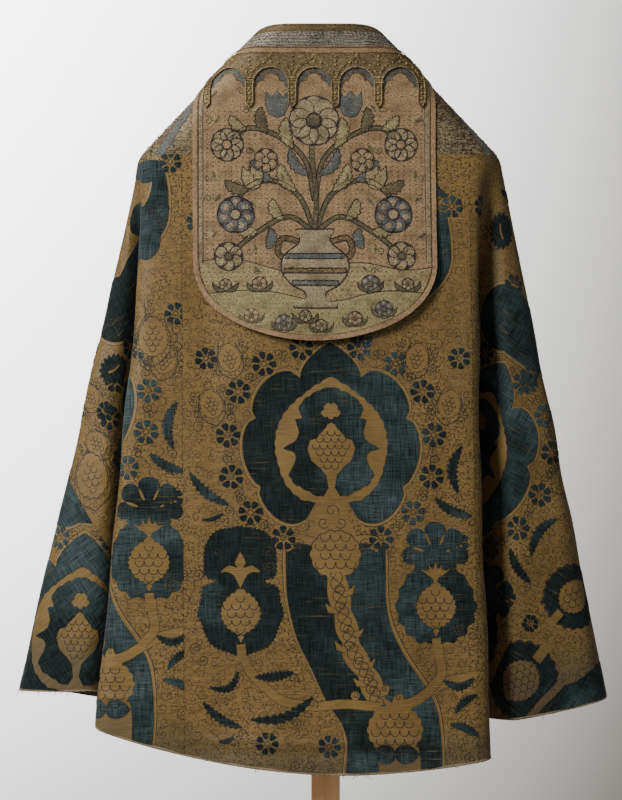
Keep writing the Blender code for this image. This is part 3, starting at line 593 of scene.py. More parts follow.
def insideLoop(points, loop):
    u1, v1 = loop.T
    u2, v2 = np.roll(loop, -1, axis=0).T
    rise = np.where(v2 == v1, 1.0, v2 - v1)
    found = np.zeros(len(points), bool)
    for start in range(0, len(points), 20000):
        u, v = points[start:start + 20000].T[:, :, None]
        crossed = ((v1 > v) != (v2 > v)) & (u < u1 + (v - v1) * (u2 - u1) / rise)
        found[start:start + 20000] = crossed.sum(axis=1) % 2 == 1
    return found


def touches(loop, low, high):
    return (loop.max(axis=0) > low).all() and (loop.min(axis=0) < high).all()


def divided(loop, longest=0.018):
    # The same loop with no long sides, so that it follows the cloth
    loop = np.array(loop, float)
    ahead = np.roll(loop, -1, axis=0)
    parts = np.ceil(np.linalg.norm(ahead - loop, axis=1) / longest).astype(int).clip(1, 90)
    return np.concatenate([a + (b - a) * (np.arange(n) / n)[:, None] for a, b, n in zip(loop, ahead, parts)])


def flatPatch(outline, shapes, pitch):
    # Triangles over an outline, cut along each shape drawn on it, with the ink of each
    low, high = outline.min(axis=0), outline.max(axis=0)
    shapes = [(ink, divided(loop)) for ink, loop in shapes if touches(np.array(loop), low, high)]
    points, edges = [], []
    for loop in [outline] + [loop for _, loop in shapes]:
        count = len(points)
        points += [tuple(p) for p in loop]
        edges += [(count + n, count + (n + 1) % len(loop)) for n in range(len(loop))]
    drawn = np.array(points)
    columns, rows = np.arange(low[0], high[0], pitch), np.arange(low[1], high[1], pitch * 0.87)
    across, down = np.meshgrid(columns, rows, indexing="ij")
    across = across + (np.arange(across.shape[1]) % 2) * pitch / 2
    grid = np.column_stack([across.ravel(), down.ravel()])
    cell = pitch / 2
    size = np.ceil((high - low) / cell).astype(int) + 4
    taken = np.zeros(size, bool)
    spots = ((drawn - low) / cell).astype(int) + 1
    spots = spots[((spots > 0) & (spots < size - 1)).all(axis=1)]
    for du in (-1, 0, 1):
        for dv in (-1, 0, 1):
            taken[spots[:, 0] + du, spots[:, 1] + dv] = True
    at = ((grid - low) / cell).astype(int) + 1
    grid = grid[~taken[at[:, 0], at[:, 1]]]
    grid = grid[insideLoop(grid, outline)]
    points += [tuple(p) for p in grid]
    result = delaunay_2d_cdt([Vector(p) for p in points], edges, [], 0, 1e-6)
    flat = np.array([(p.x, p.y) for p in result[0]])
    faces = np.array(result[2])
    a, b, c = (flat[faces[:, n]] for n in range(3))
    area = (b - a)[:, 0] * (c - a)[:, 1] - (b - a)[:, 1] * (c - a)[:, 0]
    faces[area < 0] = faces[area < 0][:, ::-1]
    faces = faces[np.abs(area) > 1e-10]
    faces = faces[insideLoop(flat[faces].mean(axis=1), outline)]
    middle = flat[faces].mean(axis=1)
    ink = np.full(len(faces), "ground", dtype="U8")
    for name, loop in shapes:
        near = np.nonzero(((middle > loop.min(axis=0)) & (middle < loop.max(axis=0))).all(axis=1))[0]
        ink[near[insideLoop(middle[near], loop)]] = name
    return flat, faces, ink


def flatArea(patch):
    a, b, c = (patch[0][patch[1][:, n]] for n in range(3))
    return float(np.abs((b - a)[:, 0] * (c - a)[:, 1] - (b - a)[:, 1] * (c - a)[:, 0]).sum() / 2)


def rimLoop(rim):
    # The rim's points in order, if it is one simple loop
    follow = dict(rim.tolist())
    loop = [int(rim[0, 0])]
    while len(loop) < len(rim) and follow[loop[-1]] != loop[0]:
        loop.append(follow[loop[-1]])
    return loop if len(loop) == len(follow) == len(rim) else None


def buildWall(name, patch, inner, outer, finishes, chosen=None, inset=None, padding=None, backPitch=0.012):
    # A closed wall over the chosen triangles, between two lifts off the cloth's face. Padding raises some inks.
    flat, faces, ink = patch
    if chosen is not None:
        faces, ink = faces[chosen], ink[chosen]
    used, local = np.unique(faces, return_inverse=True)
    local = local.reshape(faces.shape)
    points = flat[used].copy()
    count = len(points)
    ends = np.concatenate([local[:, [0, 1]], local[:, [1, 2]], local[:, [2, 0]]])
    codes = ends[:, 0] * count + ends[:, 1]
    rim = ends[~np.isin(codes, ends[:, 1] * count + ends[:, 0])]
    ahead = points[rim[:, 1]] - points[rim[:, 0]]
    ahead /= np.linalg.norm(ahead, axis=1, keepdims=True)
    inward = np.zeros_like(points)
    for end in (0, 1):
        np.add.at(inward, rim[:, end], np.column_stack([-ahead[:, 1], ahead[:, 0]]))
    square = (inward**2).sum(axis=1, keepdims=True)
    step = (layer["seam"] / 2 if inset is None else inset) * 2 * inward / np.maximum(square, 0.8)
    # The top of a raised wall draws in a little more, so that its edge is softened
    top = points + step * (1 if inset is None else 1.8)
    # The back has the same rim, and no pattern unless the piece is in many parts
    backFlat, backFaces, backOf, backStep = points, local, np.arange(count), step
    loop = rimLoop(rim) if chosen is None else None
    if loop:
        coarse, coarseFaces, _ = flatPatch(points[loop], [], backPitch)
        if np.abs(coarse[:len(loop)] - points[loop]).max() < 1e-5:
            backFlat, backFaces, backStep = coarse, coarseFaces, np.zeros_like(coarse)
            backStep[:len(loop)] = step[loop]
            backOf = np.zeros(count, int)
            backOf[loop] = np.arange(len(loop))
    backMoved = backFlat + backStep
    read = lambda lift, p: lift(p) if callable(lift) else lift
    padded = np.full(count, 1.0 if padding else 0.0)
    for corner in range(3 if padding else 0):
        np.minimum.at(padded, local[:, corner], np.array([padding.get(kind, 0.0) for kind in ink]))
    places = np.concatenate([drape.place(top, read(outer, top) + padded),
                             drape.place(backMoved, read(inner, backMoved))])
    a, b = rim[:, 0], rim[:, 1]
    walls = np.concatenate([local[:, ::-1], backFaces + count, np.column_stack([a, b, backOf[b] + count]),
                            np.column_stack([a, backOf[b] + count, backOf[a] + count])])
    mesh = bpy.data.meshes.new(name)
    mesh.from_pydata(places, [], walls)
    slot = np.zeros(len(walls), np.int32)
    for number, (kind, finish) in enumerate(finishes.items()):
        mesh.materials.append(finish)
        slot[:len(faces)][ink == kind] = number
    mesh.polygons.foreach_set("material_index", slot)
    cutMap = mesh.uv_layers.new(name="cut")
    corners = np.concatenate([points, backFlat])[walls.ravel()]
    cutMap.data.foreach_set("uv", corners.astype(np.float32).ravel())
    mesh.shade_smooth()
    mesh.set_sharp_from_angle(angle=math.radians(38))
    made = bpy.data.objects.new(name, mesh)
    bpy.context.scene.collection.objects.link(made)
    return made


# Finishes. A wire is a shader socket that stands in a formula.

class Wire:
    def __init__(self, finish, socket):
        self.finish, self.socket = finish, socket

    def maths(self, operation, *values):
        return self.finish.node("ShaderNodeMath", {"operation": operation}, dict(enumerate(values)))

    def __add__(self, other):
        return self.maths("ADD", self, other)

    __radd__ = __add__

    def __sub__(self, other):
        return self.maths("SUBTRACT", self, other)

    def __rsub__(self, other):
        return self.maths("SUBTRACT", other, self)

    def __mul__(self, other):
        return self.maths("MULTIPLY", self, other)

    __rmul__ = __mul__

    def __truediv__(self, other):
        return self.maths("DIVIDE", self, other)

    def __gt__(self, other):
        return self.maths("GREATER_THAN", self, other)

    def __lt__(self, other):
        return self.maths("LESS_THAN", self, other)


def tone(red, green, blue):
    # A colour as seen on a screen, made linear
    lin = lambda c: c / 255 / 12.92 if c < 11 else ((c / 255 + 0.055) / 1.055) ** 2.4
    return (lin(red), lin(green), lin(blue), 1)


class Finish:
    def __init__(self, name, world=None):
        self.material = world or bpy.data.materials.new(name)
        self.material.use_nodes = True
        self.tree = self.material.node_tree
        self.shader = self.tree.nodes.get("Principled BSDF")

    def node(self, kind, settings, sockets, out=0):
        made = self.tree.nodes.new(kind)
        for key, value in settings.items():
            if key == "stops":
                while len(made.color_ramp.elements) < len(value):
                    made.color_ramp.elements.new(0.5)
                for element, (place, colour) in zip(made.color_ramp.elements, value):
                    element.position, element.color = place, colour
            else:
                setattr(made, key, value)
        for key, value in sockets.items():
            if isinstance(value, Wire):
                self.tree.links.new(value.socket, made.inputs[key])
            else:
                made.inputs[key].default_value = value
        return Wire(self, made.outputs[out])

    def cut(self):
        return self.node("ShaderNodeUVMap", {"uv_map": "cut"}, {})

    def place(self):
        return self.node("ShaderNodeTexCoord", {}, {}, "Object")

    def stretch(self, vector, u, v, w=1.0):
        return self.node("ShaderNodeVectorMath", {"operation": "MULTIPLY"}, {0: vector, 1: (u, v, w)})

    def part(self, vector, axis):
        return self.node("ShaderNodeSeparateXYZ", {}, {0: vector}, axis)

    def noise(self, vector, scale=1.0, detail=3.0, rough=0.55):
        return self.node("ShaderNodeTexNoise", {}, {"Vector": vector, "Scale": scale, "Detail": detail,
                                                    "Roughness": rough})

    def ramp(self, value, low, high, start=0.0, end=1.0):
        return self.node("ShaderNodeMapRange", {}, {0: value, 1: low, 2: high, 3: start, 4: end})

    def mix(self, first, second, share):
        return self.node("ShaderNodeMix", {"data_type": "RGBA"}, {0: share, 6: first, 7: second}, 2)

    def surface(self, colour, rough, height=None, depth=0.0004, strength=1.0, **fixed):
        settings = {"Base Color": colour, "Roughness": rough}
        if height is not None:
            settings["Normal"] = self.node("ShaderNodeBump", {}, {"Strength": strength, "Distance": depth,
                                                                  "Height": height})
        for key, value in settings.items():
            if isinstance(value, Wire):
                self.tree.links.new(value.socket, self.shader.inputs[key])
            else:
                self.shader.inputs[key].default_value = value
        for key, value in fixed.items():
            self.shader.inputs[key.replace("_", " ")].default_value = value
        return self.material


def curls(f, at, cell, pitch, share):
    # Spiral line-work: one curl in each random cell
    where = f.node("ShaderNodeTexVoronoi", {"voronoi_dimensions": "2D"}, {"Vector": at, "Scale": 1 / cell,
                                                                         "Randomness": 0.8}, "Position")
    chance = f.part(f.node("ShaderNodeTexVoronoi", {"voronoi_dimensions": "2D"},
                           {"Vector": at, "Scale": 1 / cell, "Randomness": 0.8}, "Color"), 0)
    away = f.node("ShaderNodeVectorMath", {"operation": "SUBTRACT"}, {0: at, 1: where})
    reach = f.node("ShaderNodeVectorMath", {"operation": "LENGTH"}, {0: away}, "Value")
    angle = f.part(away, 1).maths("ARCTAN2", f.part(away, 1), f.part(away, 0)) / (2 * math.pi)
    hand = (chance > 0.5) * 2 - 1
    winding = reach / pitch + angle * hand + chance * 7
    turn = winding.maths("FRACT", winding)
    return (turn < share) * (reach < cell * 0.46) * (reach > pitch * 0.3)


satin = {"light": (150, 120, 64), "dark": (103, 81, 41), "line": (36, 33, 25), "worn": (96, 84, 62)}


def puckers(f, at):
    # Fine wrinkles across the cloth that grow towards the hem
    reach = f.node("ShaderNodeVectorMath", {"operation": "LENGTH"}, {0: at}, "Value")
    across = f.noise(f.stretch(at, 11, 62), 1, 2)
    turned = f.node("ShaderNodeMapping", {}, {"Vector": at, "Rotation": (0, 0, 0.5)})
    slanted = f.noise(f.stretch(turned, 16, 70), 1, 2)
    return (across * 0.6 + slanted * 0.4) * f.ramp(reach, 0.75, 1.3, 2.0, 9.0)


def goldSatin(name="oldGoldSatin", lines=True):
    f = Finish(name)
    at = f.cut()
    ribs = f.noise(f.stretch(at, 26, 430), 1, 2)
    fine = f.noise(f.stretch(at, 190, 900), 1, 2)
    patches = f.noise(f.stretch(at, 9, 6), 1, 3)
    shade = f.ramp(ribs * 0.55 + fine * 0.2 + patches * 0.35, 0.36, 0.66)
    colour = f.mix(tone(*satin["dark"]), tone(*satin["light"]), shade)
    reach = f.node("ShaderNodeVectorMath", {"operation": "LENGTH"}, {0: at}, "Value")
    grime = f.ramp(reach + f.noise(f.stretch(at, 22, 22), 1, 3) * 0.05, 1.375, 1.435)
    colour = f.mix(colour, tone(*satin["worn"]), grime * 0.7)
    if lines:
        sway = f.node("ShaderNodeTexNoise", {}, {"Vector": at, "Scale": 28, "Detail": 1}, "Color")
        bent = f.node("ShaderNodeVectorMath", {"operation": "ADD"}, {0: at, 1: f.stretch(sway, 0.012, 0.012, 0)})
        drawn = curls(f, bent, 0.0225, 0.007, 0.17)
        drawn = drawn.maths("MAXIMUM", drawn, curls(f, f.stretch(bent, 1, 1.3), 0.013, 0.0056, 0.21))
        dots = f.node("ShaderNodeTexVoronoi", {"voronoi_dimensions": "2D"}, {"Vector": bent, "Scale": 105})
        drawn = drawn.maths("MAXIMUM", drawn, (dots < 0.17) * (patches > 0.52))
        thin = f.ramp(f.noise(f.stretch(at, 75, 75), 1, 2), 0.3, 0.42)
        colour = f.mix(colour, tone(*satin["line"]), drawn * thin * 0.86)
    height = ribs * 0.6 + fine * 0.4 + puckers(f, at)
    return f.surface(colour, f.ramp(ribs, 0.3, 0.7, 0.5, 0.66), height, 0.0005, 0.7, Sheen_Weight=0.15,
                     Specular_IOR_Level=0.42)


worn = {"ground": (58, 47, 36), "thread": (150, 130, 96)}
# The pile's blue-grey is worn pile and also painted sheen, where light grazing the pile would lighten it
pile = {"deep": (5, 13, 13), "mid": (33, 48, 48), "wornSheen": (88, 108, 111), "bare": (104, 92, 58)}


def tealPile():
    f = Finish("tealPile")
    at = f.cut()
    across = f.noise(f.stretch(at, 30, 520), 1, 3)
    downward = f.noise(f.stretch(at, 420, 24), 1, 3)
    clouds = f.noise(f.stretch(at, 7, 9), 1, 4)
    colour = f.mix(tone(*pile["deep"]), tone(*pile["mid"]), f.ramp(across * 0.5 + downward * 0.5, 0.44, 0.56))
    # Painted sheen: bands across the width, lighter where the lie of the pile would catch the light
    napSheen = f.part(at, 0) * 12.3 - 1.7
    napSheen = napSheen.maths("COSINE", napSheen)
    # Worn pile and painted sheen together: lighter blue-grey streaks and patches
    wearAndSheen = f.ramp(clouds + napSheen * 0.13, 0.49, 0.72) * f.ramp(across * 0.6 + downward * 0.5, 0.4, 0.68)
    colour = f.mix(colour, tone(*pile["wornSheen"]), wearAndSheen * 0.8)
    threads = f.noise(f.stretch(at, 18, 330), 1, 2)
    bare = f.ramp(threads, 0.6, 0.68) * f.ramp(f.noise(f.stretch(at, 11, 14), 1, 3), 0.48, 0.62)
    colour = f.mix(colour, tone(*pile["bare"]), bare * 0.75)
    height = across * 0.5 + downward * 0.5 + puckers(f, at)
    return f.surface(colour, f.ramp(across, 0.3, 0.7, 0.72, 0.88), height, 0.0006, 0.8, Sheen_Weight=0.35,
                     Sheen_Roughness=0.4, Specular_IOR_Level=0.25)


def plainThread(name, light, dark, grainU, grainV, rough=0.7, metallic=0.0, depth=0.0004, sheen=0.1, strength=0.7,
                soil=0.3):
    # Flat silk or linen: two tones along the thread, a little soil
    f = Finish(name)
    at = f.cut()
    grain = f.noise(f.stretch(at, grainU, grainV), 1, 3)
    clouds = f.noise(f.stretch(at, 14, 14), 1, 3)
    colour = f.mix(tone(*dark), tone(*light), f.ramp(grain * 0.7 + clouds * soil, 0.4, 0.58))
    return f.surface(colour, rough, grain, depth, strength, Metallic=metallic, Sheen_Weight=sheen)


def couched(name, light, dark, thread, brick, metallic, depth=0.0006):
    # Gold thread laid across and tied down in a brick pattern, rubbed dark in places
    f = Finish(name)
    at = f.cut()
    bricks = f.node("ShaderNodeTexBrick", {"offset": 0.5}, {"Vector": at, "Scale": 1.0, "Color1": (1, 1, 1, 1),
                    "Color2": (0.62, 0.62, 0.62, 1), "Mortar": (0, 0, 0, 1), "Mortar Size": thread * 0.16,
                    "Mortar Smooth": 0.6, "Brick Width": brick, "Row Height": thread})
    wear = f.noise(f.stretch(at, 120, 150), 1, 4)
    speck = f.noise(f.stretch(at, 260, 300), 1, 3)
    clouds = f.noise(f.stretch(at, 16, 16), 1, 3)
    tied = f.node("ShaderNodeRGBToBW", {}, {0: bricks})
    colour = f.mix(tone(*dark), tone(*light), f.ramp(tied * 0.3 + wear * 0.42 + speck * 0.46 + clouds * 0.2,
                                                     0.7, 0.88))
    return f.surface(colour, f.ramp(wear, 0.3, 0.7, 0.42, 0.62), tied * 0.6 + speck * 0.5, depth, 0.9,
                     Metallic=metallic)


def stitched(name, light, dark, angle=90.0, length=0.009):
    # Long and short silk stitches in one direction, rubbed and lost in places, held by laid threads
    f = Finish(name)
    at = f.cut()
    turned = f.node("ShaderNodeMapping", {}, {"Vector": at, "Rotation": (0, 0, math.radians(angle))})
    rows = f.noise(f.stretch(turned, 1.6 / length, 620), 1, 2)
    speck = f.noise(f.stretch(at, 330, 330), 1, 3)
    clouds = f.noise(f.stretch(at, 32, 40), 1, 4)
    laid = f.noise(f.stretch(at, 26, 420), 1, 1)
    colour = f.mix(tone(*dark), tone(*light), f.ramp(rows * 0.5 + clouds * 0.5, 0.43, 0.59))
    colour = f.mix(colour, tone(*worn["ground"]), f.ramp(speck * 0.6 + clouds * 0.4, 0.52, 0.64) * 0.75)
    colour = f.mix(colour, tone(*worn["thread"]), f.ramp(laid, 0.58, 0.66) * f.ramp(speck, 0.42, 0.54) * 0.65)
    return f.surface(colour, 0.62, rows * 0.5 + speck * 0.6 + laid * 0.3, 0.0008, 0.9, Sheen_Weight=0.2,
                     Specular_IOR_Level=0.4)


def thread(name, light, dark, metallic=0.0):
    # Twisted thread of a cord or a stitch
    f = Finish(name)
    at = f.place()
    grain = f.noise(at, 330, 2)
    clouds = f.noise(at, 28, 3)
    colour = f.mix(tone(*dark), tone(*light), f.ramp(grain * 0.6 + clouds * 0.4, 0.42, 0.58))
    return f.surface(colour, f.ramp(grain, 0.3, 0.7, 0.45, 0.62), grain, 0.0003, 0.5, Metallic=metallic)


def pine(name, grain):
    # Planed softwood: growth rings drawn out along the board
    f = Finish(name)
    at = f.stretch(f.place(), *grain)
    wander = f.noise(at, 6, 3)
    across = f.part(at, 0) * 46 + f.part(at, 1) * 46 + f.part(at, 2) * 46 + wander * 5
    rings = across.maths("SINE", across)
    pores = f.noise(at, 90, 2)
    shade = f.ramp(rings * 0.35 + wander * 0.6 + pores * 0.3, 0.25, 0.85)
    colour = f.mix(tone(240, 206, 156), tone(208, 168, 116), shade)
    return f.surface(colour, f.ramp(pores, 0.3, 0.7, 0.42, 0.58), rings * 0.2 + pores, 0.0004, 0.35,
                     Coat_Weight=0.12, Coat_Roughness=0.35)


finishes = {
    "ground": goldSatin(),
    "gold": goldSatin("plainGoldSatin", False),
    "pile": tealPile(),
    "line": plainThread("brownOutline", (50, 44, 32), (30, 27, 20), 300, 300),
    "pale": plainThread("paleGoldEdge", (164, 136, 86), (130, 104, 62), 60, 500, 0.55),
    "hem": plainThread("creamHem", (158, 140, 112), (104, 90, 68), 300, 120, 0.8, soil=0.5),
    "seam": plainThread("seamShadow", (60, 46, 30), (34, 26, 18), 200, 200),
    "lining": plainThread("brownLinen", (116, 98, 74), (78, 64, 46), 500, 500, 0.9, strength=0.9),
    "couched": couched("couchedGold", (186, 164, 124), (60, 50, 37), 0.0021, 0.0062, 0.25),
    "gilt": couched("giltCord", (178, 150, 104), (84, 66, 42), 0.0014, 0.003, 0.35, 0.0004),
    "blue": stitched("greyBlueSilk", (112, 116, 110), (66, 71, 70), 70),
    "silver": plainThread("tarnishedSilver", (174, 164, 140), (58, 58, 52), 60, 900, 0.5, 0.35, 0.0008),
    "galloon": plainThread("galloonGold", (146, 122, 84), (66, 52, 32), 700, 200, 0.5, 0.3),
    "rose": stitched("roseTanSilk", (188, 154, 114), (122, 97, 68), 38, 0.006),
    "sage": stitched("sageSilk", (184, 168, 116), (122, 109, 75), 84),
    "olive": stitched("oliveSilk", (112, 101, 66), (70, 62, 40), 96),
    "cream": stitched("creamSilk", (184, 164, 130), (122, 104, 78), 88),
    "tan": stitched("tanSilk", (192, 168, 122), (128, 109, 76), 90),
    "dark": plainThread("darkSilkOutline", (62, 48, 38), (36, 28, 22), 400, 400),
    "archGold": couched("archGold", (160, 136, 96), (92, 76, 50), 0.0024, 0.005, 0.2, 0.0004),
    "giltThread": thread("giltThread", (182, 156, 108), (112, 90, 58), 0.25),
    "silverThread": thread("silverThread", (160, 156, 138), (66, 67, 62), 0.3),
    "salmonThread": thread("salmonThread", (182, 148, 110), (124, 96, 70)),
    "hemThread": thread("hemThread", (158, 140, 112), (104, 90, 68)),
    "outlineThread": thread("outlineThread", (66, 52, 40), (36, 28, 22)),
    "galloonThread": thread("galloonThread", (146, 122, 84), (66, 52, 32), 0.2),
    "seamThread": thread("seamThread", (50, 44, 32), (30, 27, 20)),
    "tanThread": thread("tanThread", (160, 138, 100), (96, 80, 56)),
    "salmon": plainThread("salmonSilk", (182, 148, 110), (124, 96, 70), 500, 140, 0.6),
}
print("finishes made", len(finishes))


# Panels of the cut

def evenly(start, end, step):
    count = max(1, round(math.dist(start, end) / step))
    return [tuple(np.array(start) + (np.array(end) - start) * n / count) for n in range(count)]


def stripLoop(half, low, high, step):
    # A straight strip's rim, from its half length and its two depths
    corners = [(-half, low), (half, low), (half, high), (-half, high)]
    return sum((evenly(a, b, step) for a, b in zip(corners, corners[1:] + corners[:1])), [])


def hemBetween(uLow, uHigh, step):
    # Hem points from one u to another, right to left when the first is greater
    angles = np.linspace(-math.pi / 2, math.pi / 2, 6001)
    points = drape.hemPoint(angles)
    below = points[:, 1] > cut["orphrey"] if min(abs(uLow), abs(uHigh)) < 1.3 else points[:, 1] > 0
    inside = (points[:, 0] > min(uLow, uHigh)) & (points[:, 0] < max(uLow, uHigh)) & below
    chosen = points[inside]
    along = np.concatenate([[0], np.cumsum(np.linalg.norm(np.diff(chosen, axis=0), axis=1))])
    count = max(2, round(along[-1] / step))
    even = np.column_stack([np.interp(np.linspace(0, along[-1], count), along, chosen[:, a]) for a in (0, 1)])
    return even if uLow < uHigh else even[::-1]


def hemDepth(u):
    points = drape.hemPoint(np.linspace(-math.pi / 2, math.pi / 2, 3001))
    return float(np.interp(u, points[:, 0], points[:, 1]))


def velvetOutline(uLow, uHigh, step):
    top = cut["orphrey"]
    hem = hemBetween(uHigh, uLow, step)
    start = (uLow, top) if abs(uLow) < 1.2 else tuple(hem[-1])
    loop = evenly(start, (uHigh, top) if abs(uHigh) < 1.2 else tuple(hem[0]), step)
    if abs(uHigh) < 1.2:
        loop += evenly((uHigh, top), (uHigh, hemDepth(uHigh)), step)
    loop += [tuple(p) for p in hem if tuple(p) != start]
    if abs(uLow) < 1.2:
        loop += evenly((uLow, hemDepth(uLow)), (uLow, top), step)
    return np.array(loop)


def hemBand(width):
    # The turned edge: a band along the whole hem
    angles = np.linspace(-math.pi / 2, math.pi / 2, 1400)
    hem = drape.hemPoint(angles)
    away = hem / np.linalg.norm(hem, axis=1, keepdims=True)
    uneven = width * (1 + 0.25 * np.sin(angles * 47) + 0.2 * np.sin(angles * 131))
    return np.concatenate([hem + away * 0.004, (hem - away * uneven[:, None])[::-1]])


velvet = {"pitch": 0.009, "edge": 0.007, "backPitch": 0.02,
          "panels": {  # name: node, u from, u to, place in the cut of the repeat's origin, its turn
              "velvetCentre": ("velvet_centre", -0.275, 0.275, 0.004, 0.0, 0),
              "velvetInnerLeft": ("velvet_inner_left", -0.847, -0.275, -0.532, -0.085, 0),
              "velvetInnerRight": ("velvet_inner_right", 0.275, 0.847, 0.557, -0.032, 0),
              "velvetOuterLeft": ("velvet_outer_left", -1.6, -0.847, -0.504, 0.286, 37),
              "velvetOuterRight": ("velvet_outer_right", 0.847, 1.6, 1.12, -0.26, 0)}}
# Motifs of one panel alone, drawn over the repeat
ownMotifs = {
    "velvetCentre": leaf((0.205, 0.3), (0.232, 0.33), 0.016, 0.2, 5),
    "velvetInnerLeft": ([("pile", curved(((-0.318, 0.262), (-0.33, 0.3), (-0.372, 0.296), (-0.404, 0.262)),
                                         5, True)),
                         ("pile", curved(((-0.322, 0.372), (-0.318, 0.43), (-0.35, 0.452), (-0.4, 0.408),
                                          (-0.47, 0.35), (-0.44, 0.312), (-0.372, 0.34)), 5, True))]
                        + shifted(leafFlower(0.026), -0.648, 0.545, 20) + shifted(linedTree(0.036), -0.8, 0.69, 25)
                        + flower((-0.708, 0.602), 0.0205, 8) + leaf((-0.298, 0.352), (-0.308, 0.392), 0.017, 0.2, 5)
                        + leaf((-0.6, 0.505), (-0.618, 0.452), 0.022, 0.2, 6)
                        + shifted(linedTree(0.03), -0.33, 0.6, 0)),
    "velvetInnerRight": (shifted(leafFlower(0.028), 0.417, 0.365, 60) + flower((0.567, 0.532), 0.0215, 8)
                         + flower((0.622, 0.582), 0.0215, 8, 20) + shifted(linedTree(0.034), 0.34, 0.56, 0)),
    "velvetOuterLeft": [],
    "velvetOuterRight": ([("ground", np.array(((0.8, 0.7), (1.12, 0.7), (1.12, 1.25), (0.8, 1.25)))),
                          ("pile", curved(((0.96, 1.085), (1.0, 1.02), (1.03, 0.96), (1.1, 0.93), (1.14, 1.06),
                                           (1.02, 1.2)), 5, True))]
                         + shifted(roundTree(0.058, 5), 0.912, 0.885, 12)
                         + shifted(roundTree(0.07, 6), 0.902, 1.078, -172)
                         + [("ground", ribbon(curved(((0.925, 0.95), (0.955, 0.985), (0.975, 1.03), (0.96, 1.1),
                                                      (0.95, 1.16)), 6), 0.008))]
                         + flower((0.862, 0.975), 0.018, 8) + shifted(linedTree(0.022), 0.985, 0.88, -20)
                         + leaf((0.86, 0.93), (0.872, 0.88), 0.016, 0.2, 5)),
}

ride = []


def riding(piece, slot, *nodes):
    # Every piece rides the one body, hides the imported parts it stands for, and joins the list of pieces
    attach(piece, "root")
    if nodes:
        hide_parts(*nodes)
    ride.append(piece)
    return piece


repeat = loomRepeat()
hemStrip = [("hem", hemBand(0.0034))]
for name, (node, uLow, uHigh, shiftU, shiftV, turn) in velvet["panels"].items():
    outline = velvetOutline(uLow, uHigh, velvet["edge"])
    drawn = shifted(repeat, shiftU, shiftV, turn) + ownMotifs[name] + hemStrip
    patch = flatPatch(outline, drawn, velvet["pitch"])
    ground = buildWall(name, patch, -layer["velvet"], 0.0,
                       {k: finishes[k] for k in ("ground", "gold", "line", "pale", "hem")},
                       backPitch=velvet["backPitch"])
    riding(ground, "voided_velvet", node)
    tuft = buildWall(name + "Pile", patch, 0.0001, layer["pile"], {"pile": finishes["pile"]},
                     patch[2] == "pile", 0.00015)
    riding(tuft, "voided_velvet")
    size = outline.max(axis=0) - outline.min(axis=0)
    round(flatArea(patch), 4)
    print(name, "triangles", len(ground.data.polygons), "pile", len(tuft.data.polygons))


# The lining
def halfDisc(step):
    angles = np.linspace(-math.pi / 2, math.pi / 2, int(math.pi * cut["radius"] / step))
    hem = drape.hemPoint(angles)
    hem[[0, -1], 1] = 0
    straight = evenly(tuple(hem[0]), tuple(hem[-1]), step)
    return np.array(straight + [tuple(p) for p in hem[::-1][:-1]])


liningFace = -layer["velvet"] - layer["liningGap"]
liningPatch = flatPatch(halfDisc(0.012), [], 0.02)
lining = buildWall("lining_linen", liningPatch, liningFace - layer["lining"], liningFace,
                   {"ground": finishes["lining"]}, backPitch=0.016)
riding(lining, "brown_lining", "lining")
round(flatArea(liningPatch), 4)
print("lining made")


# Orphreys: couched gold, with framed medallions down the fronts
orphrey = {"pitch": 0.01, "edge": 0.008, "frame": 0.016, "medallion": 0.078, "spacing": 0.235}


def medallion(centre, size):
    # A four-lobed frame round a flower on a stalk, with leaves
    cx, cy = centre
    quatre = lambda r: np.concatenate([polar((cx + r * 0.52 * math.sin(math.radians(t)),
                                              cy - r * 0.52 * math.cos(math.radians(t))),
                                             np.linspace(t - 82, t + 82, 12), r * 0.56) for t in (0, 90, 180, 270)])
    shapes = [("dark", quatre(size * 1.03)), ("gilt", quatre(size)), ("dark", quatre(size * 0.9)),
              ("rose", quatre(size * 0.88))]
    stalk = curved(((cx, cy + size * 0.78), (cx + 0.004, cy + 0.02), (cx, cy - 0.01)), 6)
    shapes += [("dark", ribbon(stalk, 0.0026)), ("olive", ribbon(stalk, 0.0018))]
    for side in (-1, 1):
        for low, out, high, width, bend, ink in ((0.42, 0.58, 0.16, 0.018, -0.2, "sage"),
                                                 (0.2, 0.56, -0.14, 0.014, 0.2, "blue")):
            tip = (cx + side * size * out, cy + size * high)
            shapes += leaf((cx, cy + size * low), tip, width, bend * side, 5, ink)
    shapes += [("dark", polar((cx, cy - size * 0.34), np.arange(0, 360, 20), size * 0.31))]
    shapes += flower((cx, cy - size * 0.34), size * 0.29, 6, 0, "cream")
    return shapes


